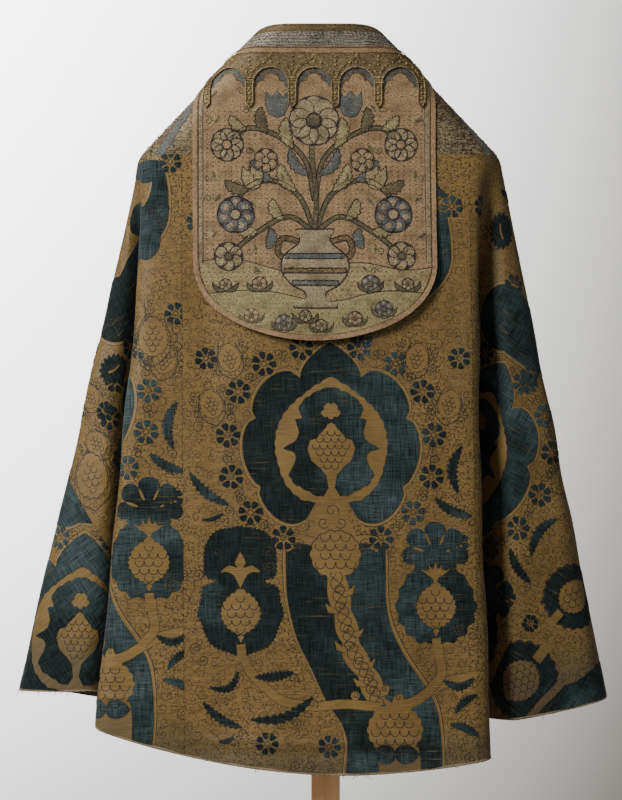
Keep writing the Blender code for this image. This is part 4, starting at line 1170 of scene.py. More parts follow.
def orphreyShapes(side=0):
    # Frames along both edges, and medallions along the front ones
    end = cut["radius"] + 0.1
    shapes = []
    if side == 0:
        for hand in (-1, 1):
            strip = np.array(((hand * 0.262, 0.15), (hand * 0.322, 0.256)))
            shapes += [("dark", ribbon(strip, 0.0105)), ("blue", ribbon(strip, 0.009)),
                       ("gilt", ribbon(strip + (hand * 0.016, -0.004), 0.0022))]
            for n, v in enumerate((0.075, 0.12, 0.165)):
                shapes += scroll((hand * (0.275 + 0.012 * n), v), 0.013, 1.4, 90 * n, hand, 0.0011, "gilt")
        return shapes
    low, high = (cut["join"], end) if side > 0 else (-end, -cut["join"])
    for v in (orphrey["frame"], cut["orphrey"] - orphrey["frame"]):
        path = np.column_stack([np.linspace(low, high, 120), np.full(120, v)])
        shapes += [("blue", ribbon(path, 0.005)), ("gilt", ribbon(path + (0, 0.0075), 0.0018)),
                   ("gilt", ribbon(path - (0, 0.0075), 0.0018))]
    for n in range(5):
        u = side * (cut["join"] + 0.125 + orphrey["spacing"] * n)
        turned = [(ink, np.column_stack([u + side * (loop[:, 1]), cut["orphrey"] / 2 - side * loop[:, 0]]))
                  for ink, loop in medallion((0.0, 0.0), orphrey["medallion"])]
        shapes += turned
        between = u + side * orphrey["spacing"] / 2
        for v in (0.072, 0.125, 0.178):
            shapes += flower((between, v), 0.015, 6, 30 * n, "blue")
        for v in (0.05, 0.098, 0.152, 0.2):
            shapes += scroll((between, v), 0.014, 1.4, v * 900, side, 0.0011, "gilt")
    return shapes


orphreyInks = {k: finishes["couched" if k == "ground" else k]
               for k in ("ground", "gilt", "blue", "dark", "rose", "olive", "sage", "cream", "line", "hem")}
joins = cut["join"]
orphreyOutlines = {
    "orphreyBack": ("orphrey_back", 0, stripLoop(joins, 0, cut["orphrey"], orphrey["edge"])),
}
for side, label in ((-1, "Left"), (1, "Right")):
    angles = np.linspace(-math.pi / 2, math.pi / 2, 6001)
    hem = drape.hemPoint(angles)
    end = hem[(hem[:, 1] < cut["orphrey"]) & (hem[:, 0] * side > 0)][::60]
    end = end if side > 0 else end[::-1]
    end = end[end[:, 1] > 0.002][::-1]
    corner, foot = (side * cut["radius"], 0.0), tuple(end[-1])
    loop = evenly((side * joins, 0), corner, orphrey["edge"]) + [corner] + [tuple(p) for p in end]
    loop += evenly((foot[0], cut["orphrey"]), (side * joins, cut["orphrey"]), orphrey["edge"])
    loop += evenly((side * joins, cut["orphrey"]), (side * joins, 0), orphrey["edge"])
    orphreyOutlines["orphreyFront" + label] = ("orphrey_front_" + label.lower(), side, loop)
for name, (node, side, loop) in orphreyOutlines.items():
    loop = np.array(loop)
    patch = flatPatch(loop, orphreyShapes(side) + hemStrip, orphrey["pitch"])
    band = buildWall(name, patch, -layer["velvet"], 0.0, orphreyInks)
    riding(band, "gold_embroidery", node)
    size = loop.max(axis=0) - loop.min(axis=0)
    round(flatArea(patch), 4)
    print(name, "triangles", len(band.data.polygons))


# The hood: a shield with a border, a generic vase of flowers, and a raised arcade over it
hood = {"top": 0.0435, "centre": -0.0225, "half": 0.232, "straight": 0.455, "tip": 0.607, "edge": 0.009,
        "lift": 0.012, "pitch": 0.0052,
        "padding": {"cream": 0.0014, "blue": 0.0011, "rose": 0.0012, "sage": 0.0008, "olive": 0.0009,
                    "gilt": 0.001},
        "leaves": ((0.035, 0.32, 0.064, 0.268, 0.026, "sage"), (0.08, 0.3, 0.12, 0.262, 0.026, "blue"),
                   (0.06, 0.375, 0.08, 0.336, 0.024, "sage"), (0.11, 0.398, 0.15, 0.386, 0.026, "sage"),
                   (0.01, 0.29, 0.046, 0.24, 0.022, "blue"), (0.04, 0.238, 0.052, 0.18, 0.026, "sage"),
                   (0.09, 0.208, 0.1, 0.16, 0.024, "olive"), (0.13, 0.202, 0.16, 0.176, 0.022, "sage"),
                   (0.125, 0.318, 0.17, 0.3, 0.024, "olive"), (0.085, 0.392, 0.092, 0.432, 0.022, "blue"))}
arch = {"top": 0.056, "spring": 0.118, "foot": 0.152, "bays": 5, "half": 0.205, "column": 0.0065, "wall": 0.0016,
        "rest": 0.001}


def hoodLift(points):
    share = np.clip((points[:, 1] - 0.28) / (hood["tip"] - 0.28), 0, 1)
    return layer["rest"] + hood["lift"] * share * share * (3 - 2 * share)


def over(extra):
    return lambda points: hoodLift(points) + extra


def hoodOutline(inset, step=0.007):
    half, tip = hood["half"] - inset, hood["tip"] - inset
    foot = []
    for n in range(1, 90):
        angle = math.pi * n / 90
        sag = (tip - hood["straight"]) * math.sin(angle) ** 0.92
        foot.append((-half * math.cos(angle), hood["straight"] + sag))
    left = evenly((-half, hood["top"]), (-half, hood["straight"]), step) + [(-half, hood["straight"])]
    right = [(-u, v) for u, v in reversed(left)]
    top = evenly((half, hood["top"]), (-half, hood["top"]), step)[1:]
    return np.array(left + foot + right + top) + (hood["centre"], 0)


def outlined(ink, loop, grow=0.0016):
    loop = np.array(loop, float)
    return [("dark", ringed(loop, loop.mean(axis=0), grow)), (ink, loop)]


def hoodShapes():
    shapes = []
    ground = curved(((-0.3, 0.47), (-0.16, 0.452), (-0.04, 0.478), (0.08, 0.46), (0.18, 0.474), (0.3, 0.452)), 10)
    hill = np.concatenate([ground, [(0.3, 0.7), (-0.3, 0.7)]])
    shapes += [("dark", hill - (0, 0.002)), ("tan", hill)]
    lower = curved(((-0.3, 0.53), (-0.12, 0.512), (0.02, 0.534), (0.14, 0.514), (0.3, 0.53)), 10)
    shapes += [("dark", np.concatenate([lower - (0, 0.002), [(0.3, 0.7), (-0.3, 0.7)]])),
               ("sage", np.concatenate([lower, [(0.3, 0.7), (-0.3, 0.7)]]))]
    # Stems that part from the vase and curl outwards
    for side in (-1, 1):
        for path in (((0.0, 0.4), (side * 0.03, 0.33), (side * 0.085, 0.3), (side * 0.135, 0.32),
                      (side * 0.15, 0.36)),
                     ((0.0, 0.4), (side * 0.05, 0.37), (side * 0.11, 0.4), (side * 0.16, 0.44)),
                     ((0.0, 0.34), (side * 0.018, 0.26), (side * 0.07, 0.215), (side * 0.125, 0.2),
                      (side * 0.165, 0.225))):
            line = curved(path, 9)
            shapes += [("dark", ribbon(line, 0.0046)), ("olive", ribbon(line, 0.0032))]
    stem = curved(((0.0, 0.41), (0.004, 0.33), (-0.004, 0.25), (0.0, 0.19)), 9)
    shapes += [("dark", ribbon(stem, 0.0054)), ("olive", ribbon(stem, 0.0038))]
    for side in (-1, 1):
        for u1, v1, u2, v2, width, ink in hood["leaves"]:
            for extra, tint in ((0.004, "dark"), (0, ink)):
                blade = leaf((side * u1, v1), (side * u2, v2), width + extra, 0.16 * side, 6)
                shapes.append((tint, blade[1][1]))
    # Blossoms
    def bloom(spot, radius, petals, ink, heart):
        made = [("dark", polar(spot, np.arange(0, 360, 12), radius * 1.05))]
        for n in range(petals):
            at = 360 * n / petals
            petal = polar(polar(spot, at, radius * 0.62), np.arange(0, 360, 30), radius * 0.4)
            middle = petal.mean(axis=0)
            core = middle + (petal - middle) * 0.45 + (middle - spot) * 0.1
            made += [("dark", ringed(petal, middle, 0.0011)), (ink, petal),
                     ("tan" if ink == "cream" else "cream", core)]
        made += [("dark", polar(spot, np.arange(0, 360, 24), radius * 0.34)),
                 (heart, polar(spot, np.arange(0, 360, 24), radius * 0.27))]
        return made
    shapes += bloom((0.0, 0.186), 0.046, 9, "cream", "olive")
    for side in (-1, 1):
        shapes += bloom((side * 0.15, 0.366), 0.034, 7, "blue", "cream")
        shapes += bloom((side * 0.166, 0.232), 0.03, 8, "cream", "rose")
        shapes += bloom((side * 0.164, 0.446), 0.026, 6, "cream", "olive")
        shapes += bloom((side * 0.092, 0.262), 0.022, 6, "rose", "cream")
        tulip = mirrored(((0.0, -0.03), (0.01, -0.018), (0.02, -0.03), (0.022, -0.004), (0.014, 0.014),
                          (0.0, 0.02)))
        shapes += outlined("blue", tulip + (side * 0.07, 0.16))
        shapes += outlined("tan", tulip * 0.9 + (side * 0.118, 0.3))
    # Sprigs between the stems
    for n, (u, v) in enumerate(((0.04, 0.128), (0.118, 0.16), (0.19, 0.18), (0.19, 0.29), (0.112, 0.236),
                                (0.196, 0.4), (0.06, 0.292), (0.112, 0.34), (0.19, 0.33), (0.128, 0.124),
                                (0.1, 0.47), (0.196, 0.13), (0.112, 0.43))):
        for side in (-1, 1):
            base = np.array((side * u, v + 0.01))
            for lean in (-50, 0, 50):
                tip = polar(base, lean + 12 * side, 0.017)
                ink = ("olive", "sage", "tan")[(n + lean // 50) % 3]
                shapes.append((ink, leaf(base, tip, 0.0075, 0.1, 4)[1][1]))
            shapes += scroll((side * (u + 0.012), v + 0.006), 0.008, 1.2, 40 * n, side, 0.0007, "dark")
    # The vase, with bands and two handles
    for side in (-1, 1):
        handle = curved(((side * 0.03, 0.418), (side * 0.062, 0.412), (side * 0.07, 0.44),
                         (side * 0.04, 0.462)), 8)
        shapes += [("dark", ribbon(handle, 0.0055)), ("gilt", ribbon(handle, 0.004))]
    vase = curved(((0.0, 0.396), (0.036, 0.396), (0.028, 0.41), (0.032, 0.424), (0.058, 0.446), (0.062, 0.474),
                   (0.044, 0.5), (0.02, 0.514), (0.02, 0.528), (0.042, 0.542), (0.0, 0.544)), 5)
    shapes += [("dark", ringed(mirrored(vase), np.array((0, 0.47)), 0.0022)), ("cream", mirrored(vase))]
    for v, half, ink in ((0.446, 0.056, "blue"), (0.474, 0.06, "gilt"), (0.498, 0.044, "blue")):
        band = np.array(((-half, v), (half, v)))
        shapes += [("dark", ribbon(band, 0.0052)), (ink, ribbon(band, 0.0036))]
    # Tufts and small flowers on the ground
    for n, (u, v) in enumerate(((-0.17, 0.5), (-0.12, 0.56), (-0.06, 0.575), (0.01, 0.578), (0.075, 0.566),
                                (0.13, 0.548), (0.175, 0.5), (-0.105, 0.5), (0.105, 0.5), (-0.02, 0.56))):
        shapes += bloom((u, v), 0.011 + 0.003 * (n % 3), 6, ("cream", "rose", "blue")[n % 3], "olive")
        for hand in (-1, 1):
            blade = leaf((u, v + 0.012), (u + hand * 0.024, v - 0.004), 0.009, 0.2 * hand, 4, "olive")
            shapes += [("dark", ringed(blade[1][1], blade[1][1].mean(axis=0), 0.001)), blade[1]]
    # Cusped tracery under the arches
    sky = []
    bay, spring = 2 * arch["half"] / arch["bays"], arch["spring"]
    for n in range(arch["bays"]):
        middle = hood["centre"] - arch["half"] + (n + 0.5) * bay
        sky.append(("blue", polar((middle, spring), np.linspace(-100, 100, 24), bay / 2 - 0.004)))
        lobes = [((middle, spring - 0.007), 0.0145), ((middle - 0.015, spring + 0.004), 0.012),
                 ((middle + 0.015, spring + 0.004), 0.012)]
        for grow, ink in ((0.0032, "dark"), (0.0024, "gilt"), (0.0, "ground")):
            for spot, size in lobes:
                sky.append((ink, polar(spot, np.arange(0, 360, 20), size + grow)))
        sky.append(("ground", np.array(((middle - 0.033, spring + 0.004), (middle + 0.033, spring + 0.004),
                                           (middle + 0.033, spring + 0.024), (middle - 0.033, spring + 0.024)))))
        for side in (-1, 1):
            rib = curved(((middle, spring - 0.032), (middle + side * 0.01, spring - 0.022),
                          (middle + side * 0.024, spring - 0.016)), 5)
            sky += [("dark", ribbon(rib, 0.0018)), ("gilt", ribbon(rib, 0.0011))]
    shapes = sky + shifted(shapes, hood["centre"], 0)
    # Side strips
    for side in (-1, 1):
        u = hood["centre"] + side * (hood["half"] - 0.015)
        strip = np.array(((u, 0.0), (u, 0.46)))
        shapes += [("cream", ribbon(strip, 0.0042)), ("dark", ribbon(strip - (side * 0.0052, 0), 0.0008))]
    return shapes


hoodDrawing = hoodShapes()
panelPatch = flatPatch(hoodOutline(hood["edge"]), hoodDrawing, hood["pitch"])
hoodInks = {k: finishes["rose" if k == "ground" else k]
            for k in ("ground", "rose", "dark", "line", "sage", "olive", "cream", "blue", "tan", "gilt")}
hoodPanel = buildWall("hoodPanel", panelPatch, hoodLift, over(layer["hood"]), hoodInks, padding=hood["padding"])
riding(hoodPanel, "hood_silk", "hood_panel")
size = hoodOutline(hood["edge"]).max(axis=0) - hoodOutline(hood["edge"]).min(axis=0)
round(flatArea(panelPatch), 4)
rimShapes = [("rim", hoodOutline(hood["edge"]))]
rimPatch = flatPatch(hoodOutline(0), rimShapes, hood["pitch"])
hoodRim = buildWall("hoodEdging", rimPatch, hoodLift, over(layer["hoodEdge"]), {"ground": finishes["salmon"]},
                    rimPatch[2] == "ground")
riding(hoodRim, "hood_edging_silk", "hood_edging")
rimArea = flatArea((rimPatch[0], rimPatch[1][rimPatch[2] == "ground"]))
# The edging's silk covers the band's face and turns down over its side
print("hood made", len(hoodPanel.data.polygons))


def archOutline():
    bay = 2 * arch["half"] / arch["bays"]
    radius = bay / 2 - arch["column"]
    column, half = arch["column"], arch["half"]
    points = evenly((half + column, arch["top"]), (-half - column, arch["top"]), 0.006)
    for n in range(arch["bays"] + 1):
        foot = -half + n * bay
        start = arch["top"] if n == 0 else arch["spring"]
        points += evenly((foot - column, start), (foot - column, arch["foot"]), 0.006)
        points += [(foot + share * column, arch["foot"] + drop)
                   for share, drop in ((-1, 0), (-0.5, 0.005), (0, 0.009), (0.5, 0.005))]
        if n == arch["bays"]:
            points += evenly((foot + column, arch["foot"]), (foot + column, arch["top"]), 0.006)
            continue
        points += evenly((foot + column, arch["foot"]), (foot + column, arch["spring"]), 0.006)
        for step in range(25):
            angle = math.pi * step / 24
            points.append((foot + bay / 2 - radius * math.cos(angle), arch["spring"] - radius * math.sin(angle)))
    return np.array(points) + (hood["centre"], 0)


archLow = layer["hood"] + arch["rest"]
archPatch = flatPatch(archOutline(), [], 0.006)
arcade = buildWall("hoodArcade", archPatch, over(archLow), over(archLow + arch["wall"]),
                   {"ground": finishes["archGold"]})
riding(arcade, "gold_embroidery", "hood_arcade")
print("arcade made")


# Geometry Nodes: cords laid along a path, and stitches or beads repeated along one

class Tree:
    def __init__(self, name, sizes):
        self.tree = bpy.data.node_groups.new(name, "GeometryNodeTree")
        self.tree.interface.new_socket("Path", in_out="INPUT", socket_type="NodeSocketGeometry")
        for label, value in sizes.items():
            kind = "NodeSocketMaterial" if value is None else "NodeSocketFloat"
            socket = self.tree.interface.new_socket(label, in_out="INPUT", socket_type=kind)
            if value is not None:
                socket.default_value = value
        self.tree.interface.new_socket("Geometry", in_out="OUTPUT", socket_type="NodeSocketGeometry")
        self.start = self.tree.nodes.new("NodeGroupInput")
        self.end = self.tree.nodes.new("NodeGroupOutput")

    def add(self, kind, settings, sockets, out=0):
        made = self.tree.nodes.new(kind)
        for key, value in settings.items():
            setattr(made, key, value)
        for key, value in sockets.items():
            if isinstance(value, bpy.types.NodeSocket):
                self.tree.links.new(value, made.inputs[key])
            else:
                made.inputs[key].default_value = value
        return made.outputs[out]

    def size(self, label):
        return self.start.outputs[label]

    def close(self, geometry):
        real = self.add("GeometryNodeRealizeInstances", {}, {0: geometry})
        smooth = self.add("GeometryNodeSetShadeSmooth", {}, {0: real})
        done = self.add("GeometryNodeSetMaterial", {}, {"Geometry": smooth, "Material": self.size("Material")})
        self.tree.links.new(done, self.end.inputs[0])
        return self.tree


def cordTree():
    t = Tree("laidCord", {"Step": 0.004, "Half Width": 0.0015, "Flatness": 0.7, "Twist": 0.0,
                          "Material": None})
    curve = t.add("GeometryNodeMeshToCurve", {}, {0: t.size("Path")})
    curve = t.add("GeometryNodeResampleCurve", {"mode": "LENGTH"}, {"Curve": curve, "Length": t.size("Step")})
    along = t.add("GeometryNodeSplineParameter", {}, {}, "Length")
    turned = t.add("ShaderNodeMath", {"operation": "MULTIPLY"}, {0: along, 1: t.size("Twist")})
    curve = t.add("GeometryNodeSetCurveTilt", {}, {"Curve": curve, "Tilt": turned})
    circle = t.add("GeometryNodeCurvePrimitiveCircle", {}, {"Resolution": 6, "Radius": 1.0})
    thick = t.add("ShaderNodeMath", {"operation": "MULTIPLY"}, {0: t.size("Half Width"), 1: t.size("Flatness")})
    wide = t.add("ShaderNodeCombineXYZ", {}, {0: t.size("Half Width"), 1: thick, 2: 1.0})
    section = t.add("GeometryNodeTransform", {}, {"Geometry": circle, "Scale": wide})
    cord = t.add("GeometryNodeCurveToMesh", {}, {"Curve": curve, "Profile Curve": section, "Fill Caps": True})
    return t.close(cord)


def rowTree():
    t = Tree("repeatAlong", {"Spacing": 0.006, "Length": 0.004, "Width": 0.001, "Height": 0.0008, "Angle": 0.0,
                             "Unevenness": 0.2, "Roundness": 1.0, "Seed": 1.0, "Material": None})
    curve = t.add("GeometryNodeMeshToCurve", {}, {0: t.size("Path")})
    curve = t.add("GeometryNodeResampleCurve", {"mode": "LENGTH"}, {"Curve": curve, "Length": t.size("Spacing")})
    tangent = t.add("GeometryNodeInputTangent", {}, {})
    outward = t.add("GeometryNodeInputNamedAttribute", {"data_type": "FLOAT_VECTOR"}, {"Name": "outward"})
    turn = t.add("FunctionNodeAlignRotationToVector", {"axis": "Z"}, {"Vector": outward})
    turn = t.add("FunctionNodeAlignRotationToVector", {"axis": "X", "pivot_axis": "Z"}, {"Rotation": turn,
                                                                                       "Vector": tangent})
    seed = t.add("FunctionNodeFloatToInt", {}, {0: t.size("Seed")})
    jitter = t.add("FunctionNodeRandomValue", {"data_type": "FLOAT"}, {2: -1.0, 3: 1.0, "Seed": seed}, 1)
    jitter = t.add("ShaderNodeMath", {"operation": "MULTIPLY_ADD"}, {0: jitter, 1: t.size("Unevenness"),
                                                                    2: t.size("Angle")})
    local = t.add("FunctionNodeAxisAngleToRotation", {}, {"Axis": (0, 0, 1), "Angle": jitter})
    turn = t.add("FunctionNodeRotateRotation", {"rotation_space": "LOCAL"}, {0: turn, 1: local})
    bead = t.add("GeometryNodeMeshIcoSphere", {}, {"Radius": 0.5, "Subdivisions": t.size("Roundness")})
    size = t.add("ShaderNodeCombineXYZ", {}, {0: t.size("Length"), 1: t.size("Width"), 2: t.size("Height")})
    points = t.add("GeometryNodeInstanceOnPoints", {}, {"Points": curve, "Instance": bead, "Rotation": turn,
                                                        "Scale": size})
    return t.close(points)


cordNodes, rowNodes = cordTree(), rowTree()


def followed(name, tree, paths, sizes, finish, slot):
    # Runs a node tree along paths on the cloth. Each path is flat points and a lift.
    points, normals, edges = [], [], []
    for flat, lift in paths:
        flat = np.array(flat, float)
        place, normal = drape.read(flat)
        count = sum(len(p) for p in points)
        rise = np.broadcast_to(lift(flat) if callable(lift) else lift, len(flat))
        points.append(place + rise[:, None] * normal)
        normals.append(normal)
        edges += [(count + n, count + n + 1) for n in range(len(flat) - 1)]
    mesh = bpy.data.meshes.new(name + "Path")
    mesh.from_pydata(np.concatenate(points), edges, [])
    outward = mesh.attributes.new("outward", "FLOAT_VECTOR", "POINT")
    outward.data.foreach_set("vector", np.concatenate(normals).astype(np.float32).ravel())
    guide = bpy.data.objects.new(name + "Path", mesh)
    bpy.context.scene.collection.objects.link(guide)
    modifier = guide.modifiers.new("follow", "NODES")
    modifier.node_group = tree
    for item in tree.interface.items_tree:
        if item.item_type == "SOCKET" and item.in_out == "INPUT" and item.name in sizes:
            modifier[item.identifier] = sizes[item.name]
        if item.item_type == "SOCKET" and item.name == "Material":
            modifier[item.identifier] = finish
    graph = bpy.context.evaluated_depsgraph_get()
    made = bpy.data.meshes.new_from_object(guide.evaluated_get(graph))
    made.name = name
    bpy.data.objects.remove(guide)
    piece = bpy.data.objects.new(name, made)
    bpy.context.scene.collection.objects.link(piece)
    return riding(piece, slot)


def lineAt(v, uLow, uHigh, step=0.004):
    u = np.arange(uLow, uHigh + step / 2, step)
    return np.column_stack([u, np.full(len(u), v)])


def lineDown(u, vLow, vHigh, step=0.006):
    v = np.arange(vLow, vHigh + step / 2, step)
    return np.column_stack([np.full(len(v), u), v])


# Braids at the neck
neck = {"galloon": 0.0155, "band": 0.0435, "half": 0.345, "edge": 0.004, "pitch": 0.0045}
for name, node, slot, low, high, ink in (
        ("neckGalloon", "neck_galloon", "gold_embroidery", 0.0, neck["galloon"], "galloon"),
        ("neckBand", "neck_band", "silver_braid", neck["galloon"], neck["band"], "silver")):
    patch = flatPatch(np.array(stripLoop(neck["half"], low, high, neck["edge"])), [], neck["pitch"])
    strip = buildWall(name, patch, layer["rest"], layer["rest"] + layer["braid"], {"ground": finishes[ink]})
    riding(strip, slot, node)
    round(high - low, 4)
braidTop = layer["rest"] + layer["braid"]
for n, v in enumerate((0.0026, 0.0062, 0.0098, 0.0134)):
    followed(f"galloonRow{n}", rowNodes, [(lineAt(v, -0.342, 0.342), braidTop)],
             {"Spacing": 0.0024, "Length": 0.0046, "Width": 0.0019, "Height": 0.0013,
              "Angle": math.radians(38 if n % 2 else -38), "Unevenness": 0.08, "Seed": n + 1},
             finishes["galloonThread"], "gold_embroidery")
for n, (v, size) in enumerate(((0.018, 0.0036), (0.0232, 0.0046), (0.029, 0.005), (0.035, 0.0046),
                               (0.0405, 0.0036))):
    followed(f"silverRow{n}", rowNodes, [(lineAt(v, -0.34, 0.34), braidTop)],
             {"Spacing": 0.0079 - 0.0007 * n, "Length": size * 2.4, "Width": 0.0026, "Height": 0.003,
              "Angle": math.radians(14 * (n % 3 - 1)), "Unevenness": 0.55, "Seed": n + 11},
             finishes["silverThread"], "silver_braid")
followed("neckCord", cordNodes, [(lineAt(neck["band"] + 0.0012, -0.342, 0.342), layer["hoodEdge"] + 0.0016)],
         {"Step": 0.0016, "Half Width": 0.0013, "Flatness": 0.8, "Twist": 1500.0}, finishes["salmonThread"],
         "hood_edging_silk")
print("braids made")

# Cords round the hood, the arches and the columns, and beads over the arches
# The cord stops at the hood's straight top
hoodCordLine = hoodOutline(hood["edge"] + 0.0022)[:len(hoodOutline(hood["edge"])) - 60]
followed("hoodCord", cordNodes, [(hoodCordLine, over(layer["hood"] + 0.0006))],
         {"Step": 0.0022, "Half Width": 0.0014, "Flatness": 0.62, "Twist": 1300.0}, finishes["giltThread"],
         "gold_embroidery")
archTop = archLow + arch["wall"]
archLine = archOutline()
closedArch = np.concatenate([archLine, archLine[:1]])
followed("archCord", cordNodes, [(closedArch, over(archTop + 0.0004))],
         {"Step": 0.0018, "Half Width": 0.0019, "Flatness": 0.75, "Twist": 1200.0}, finishes["giltThread"],
         "gold_embroidery")
beads = []
bay = 2 * arch["half"] / arch["bays"]
for n in range(arch["bays"]):
    middle = -arch["half"] + (n + 0.5) * bay + hood["centre"]
    for turn in np.linspace(-72, 72, 9):
        spot = polar((middle, arch["spring"]), turn, bay / 2 + 0.0035)
        if spot[1] > arch["top"] + 0.004:
            beads.append((np.array([spot, spot + (0.0001, 0)]), over(archTop + 0.0002)))
for n in range(arch["bays"] + 1):
    foot = -arch["half"] + n * bay + hood["centre"]
    for v in (0.064, 0.072, 0.08, 0.124, 0.134, 0.144):
        beads.append((np.array([(foot, v), (foot + 0.0001, v)]), over(archTop + 0.0002)))
followed("arcadeBeads", rowNodes, beads,
         {"Spacing": 0.01, "Length": 0.0052, "Width": 0.0052, "Height": 0.0044, "Unevenness": 0.0,
          "Roundness": 2.0},
         finishes["giltThread"], "gold_embroidery")
ogees = []
for n in range(arch["bays"]):
    foot, middle = hood["centre"] - arch["half"] + n * bay, hood["centre"] - arch["half"] + (n + 0.5) * bay
    for side in (-1, 1):
        sweepUp = curved([(middle + side * x, v) for x, v in ((bay / 2 - 0.003, 0.101), (bay / 2 - 0.012, 0.0835),
                                                             (0.016, 0.0745), (0.005, 0.068), (0.0, 0.06))], 6)
        for gap in (0.0, 0.0036):
            ogees.append((sweepUp - (0, gap), over(archTop + 0.0004)))
followed("archOgees", cordNodes, ogees, {"Step": 0.0018, "Half Width": 0.0012, "Flatness": 0.9, "Twist": 1300.0},
         finishes["giltThread"], "gold_embroidery")
capitals = []
for n in range(arch["bays"] + 1):
    foot = -arch["half"] + n * bay + hood["centre"]
    for v, half in ((0.104, 0.01), (0.109, 0.0085), (0.1135, 0.0098), (0.1285, 0.0072), (0.152, 0.0072)):
        capitals.append((lineAt(v, foot - half, foot + half, 0.002), over(archTop + 0.0003)))
followed("archCapitals", cordNodes, capitals,
         {"Step": 0.0016, "Half Width": 0.0017, "Flatness": 0.75, "Twist": 1300.0}, finishes["giltThread"],
         "gold_embroidery")
outlines = []
for ink, loop in hoodDrawing:
    span = (loop.max(axis=0) - loop.min(axis=0)).max()
    within = insideLoop(loop, hoodOutline(0.016)).all() and loop[:, 1].min() > 0.158
    if ink == "dark" and 0.016 < span < 0.2 and within:
        outlines.append((np.concatenate([loop, loop[:1]]), over(layer["hood"] + 0.0003)))
followed("hoodOutlines", cordNodes, outlines,
         {"Step": 0.006, "Half Width": 0.0009, "Flatness": 0.8, "Twist": 900.0}, finishes["outlineThread"], "hood_silk")
print("hood trim made")

# Seam stitches, the hem's turned edge and loose threads
seams = {"velvet": 0.013, "hemSpacing": 0.016}
stitchPaths = []
for u in (-cut["sideSeam"], -cut["centreSeam"], cut["centreSeam"], cut["sideSeam"]):
    stitchPaths.append((lineDown(u, cut["orphrey"] + 0.004, hemDepth(u) - 0.004), 0.0002))
followed("seamStitches", rowNodes, stitchPaths, {"Spacing": seams["velvet"], "Length": 0.006, "Width": 0.0011,
         "Height": 0.0008, "Unevenness": 0.12, "Seed": 31}, finishes["seamThread"], "voided_velvet")
hemPath = drape.hemPoint(np.linspace(-math.pi / 2 + 0.004, math.pi / 2 - 0.004, 1500))
hemPath = hemPath * (1 - 0.0008 / np.linalg.norm(hemPath, axis=1, keepdims=True))
followed("hemCord", cordNodes, [(hemPath, -0.0006)], {"Step": 0.006, "Half Width": 0.0016, "Flatness": 0.9,
         "Twist": 260.0}, finishes["hemThread"], "voided_velvet")
# Laid threads that catch the light on the hood and the orphreys
laid = {"hoodRow": 0.0088, "hoodSpacing": 0.0112, "rows": 0.0155, "spacing": 0.0175}
hoodRows, field = [], hoodOutline(0.015)
for v in np.arange(0.168, 0.6, laid["hoodRow"]):
    row = lineAt(v, hood["centre"] - 0.24, hood["centre"] + 0.24, 0.003)
    row = row[insideLoop(row, field)]
    if len(row) > 4:
        hoodRows.append((row, over(layer["hood"] + 0.0006)))
followed("hoodLaidThreads", rowNodes, hoodRows, {"Spacing": laid["hoodSpacing"], "Length": 0.0062, "Width": 0.0012,
         "Height": 0.0012, "Unevenness": 0.5, "Seed": 51}, finishes["tanThread"], "hood_silk")
bandRows = []
for n, v in enumerate(np.arange(0.052, 0.246, laid["rows"] / 1.6)):
    for side in (-1, 1):
        low, high = sorted((side * 0.34, hood["centre"] + side * (hood["half"] + 0.006)))
        bandRows.append((lineAt(v, low + 0.002 * (n % 2), high), 0.0002))
for side in (-1, 1):
    for n, v in enumerate(np.arange(0.034, 0.222, laid["rows"])):
        reach = math.sqrt(cut["radius"] ** 2 - v * v) - 0.012
        low, high = sorted((side * (cut["join"] + 0.01), side * reach))
        bandRows.append((lineAt(v, low + 0.005 * (n % 2), high), 0.0002))
followed("orphreyLaidThreads", rowNodes, bandRows, {"Spacing": laid["spacing"], "Length": 0.0078, "Width": 0.0019,
         "Height": 0.0018, "Unevenness": 0.45, "Seed": 52}, finishes["giltThread"], "gold_embroidery")
# Threads that hang loose from the hem
random = np.random.default_rng(7)
looseThreads = []
for angle in np.concatenate([random.uniform(-1.5, 1.5, 44), (0.03, 0.036, 0.72, 0.73)]):
    root = drape.hemPoint(np.array([angle]))[0]
    away = root / np.linalg.norm(root)
    side = np.array([-away[1], away[0]])
    reach, bend = random.uniform(0.004, 0.011), random.uniform(-0.01, 0.01)
    t = np.linspace(0, 1, 6)[:, None]
    strand = root - away * 0.002 + away * reach * t + side * bend * t * t
    lift = random.uniform(-0.003, 0.001)
    # The cloth's table folds over itself past some folds of the hem, so a thread that jumps there is left out
    hung = drape.place(strand)
    if np.linalg.norm(hung - hung[0], axis=1).max() < 1.3 * np.linalg.norm(strand - strand[0], axis=1).max():
        looseThreads.append((strand, lift))
followed("looseThreads", cordNodes, looseThreads, {"Step": 0.0025, "Half Width": 0.0005, "Flatness": 1.0},
         finishes["hemThread"], "voided_velvet")
print("seams and hem made")

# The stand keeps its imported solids, in planed pine
for node, grain in (("stand_post", (1.0, 1.0, 0.05)), ("stand_base", (0.05, 1.0, 1.0)),
                    ("stand_yoke", (0.06, 1.0, 1.0))):
    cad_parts[node].material_slots[0].material = pine("pine" + node[6:].title(), grain)

# Camera, floor, backdrop and lights
view = {"scale": 1.886e-3, "centreX": 319, "centreZ": 0.907, "plane": -0.1, "distance": 5.0}
camera = bpy.data.objects.new("photoCamera", bpy.data.cameras.new("photoCamera"))
bpy.context.scene.collection.objects.link(camera)
camera.location = ((311 - view["centreX"]) * view["scale"], view["plane"] - view["distance"], view["centreZ"])
camera.rotation_euler = (math.pi / 2, 0, 0)
camera.data.sensor_width = 36.0
camera.data.lens = 36.0 * view["distance"] / (800 * view["scale"])
bpy.context.scene.camera = camera

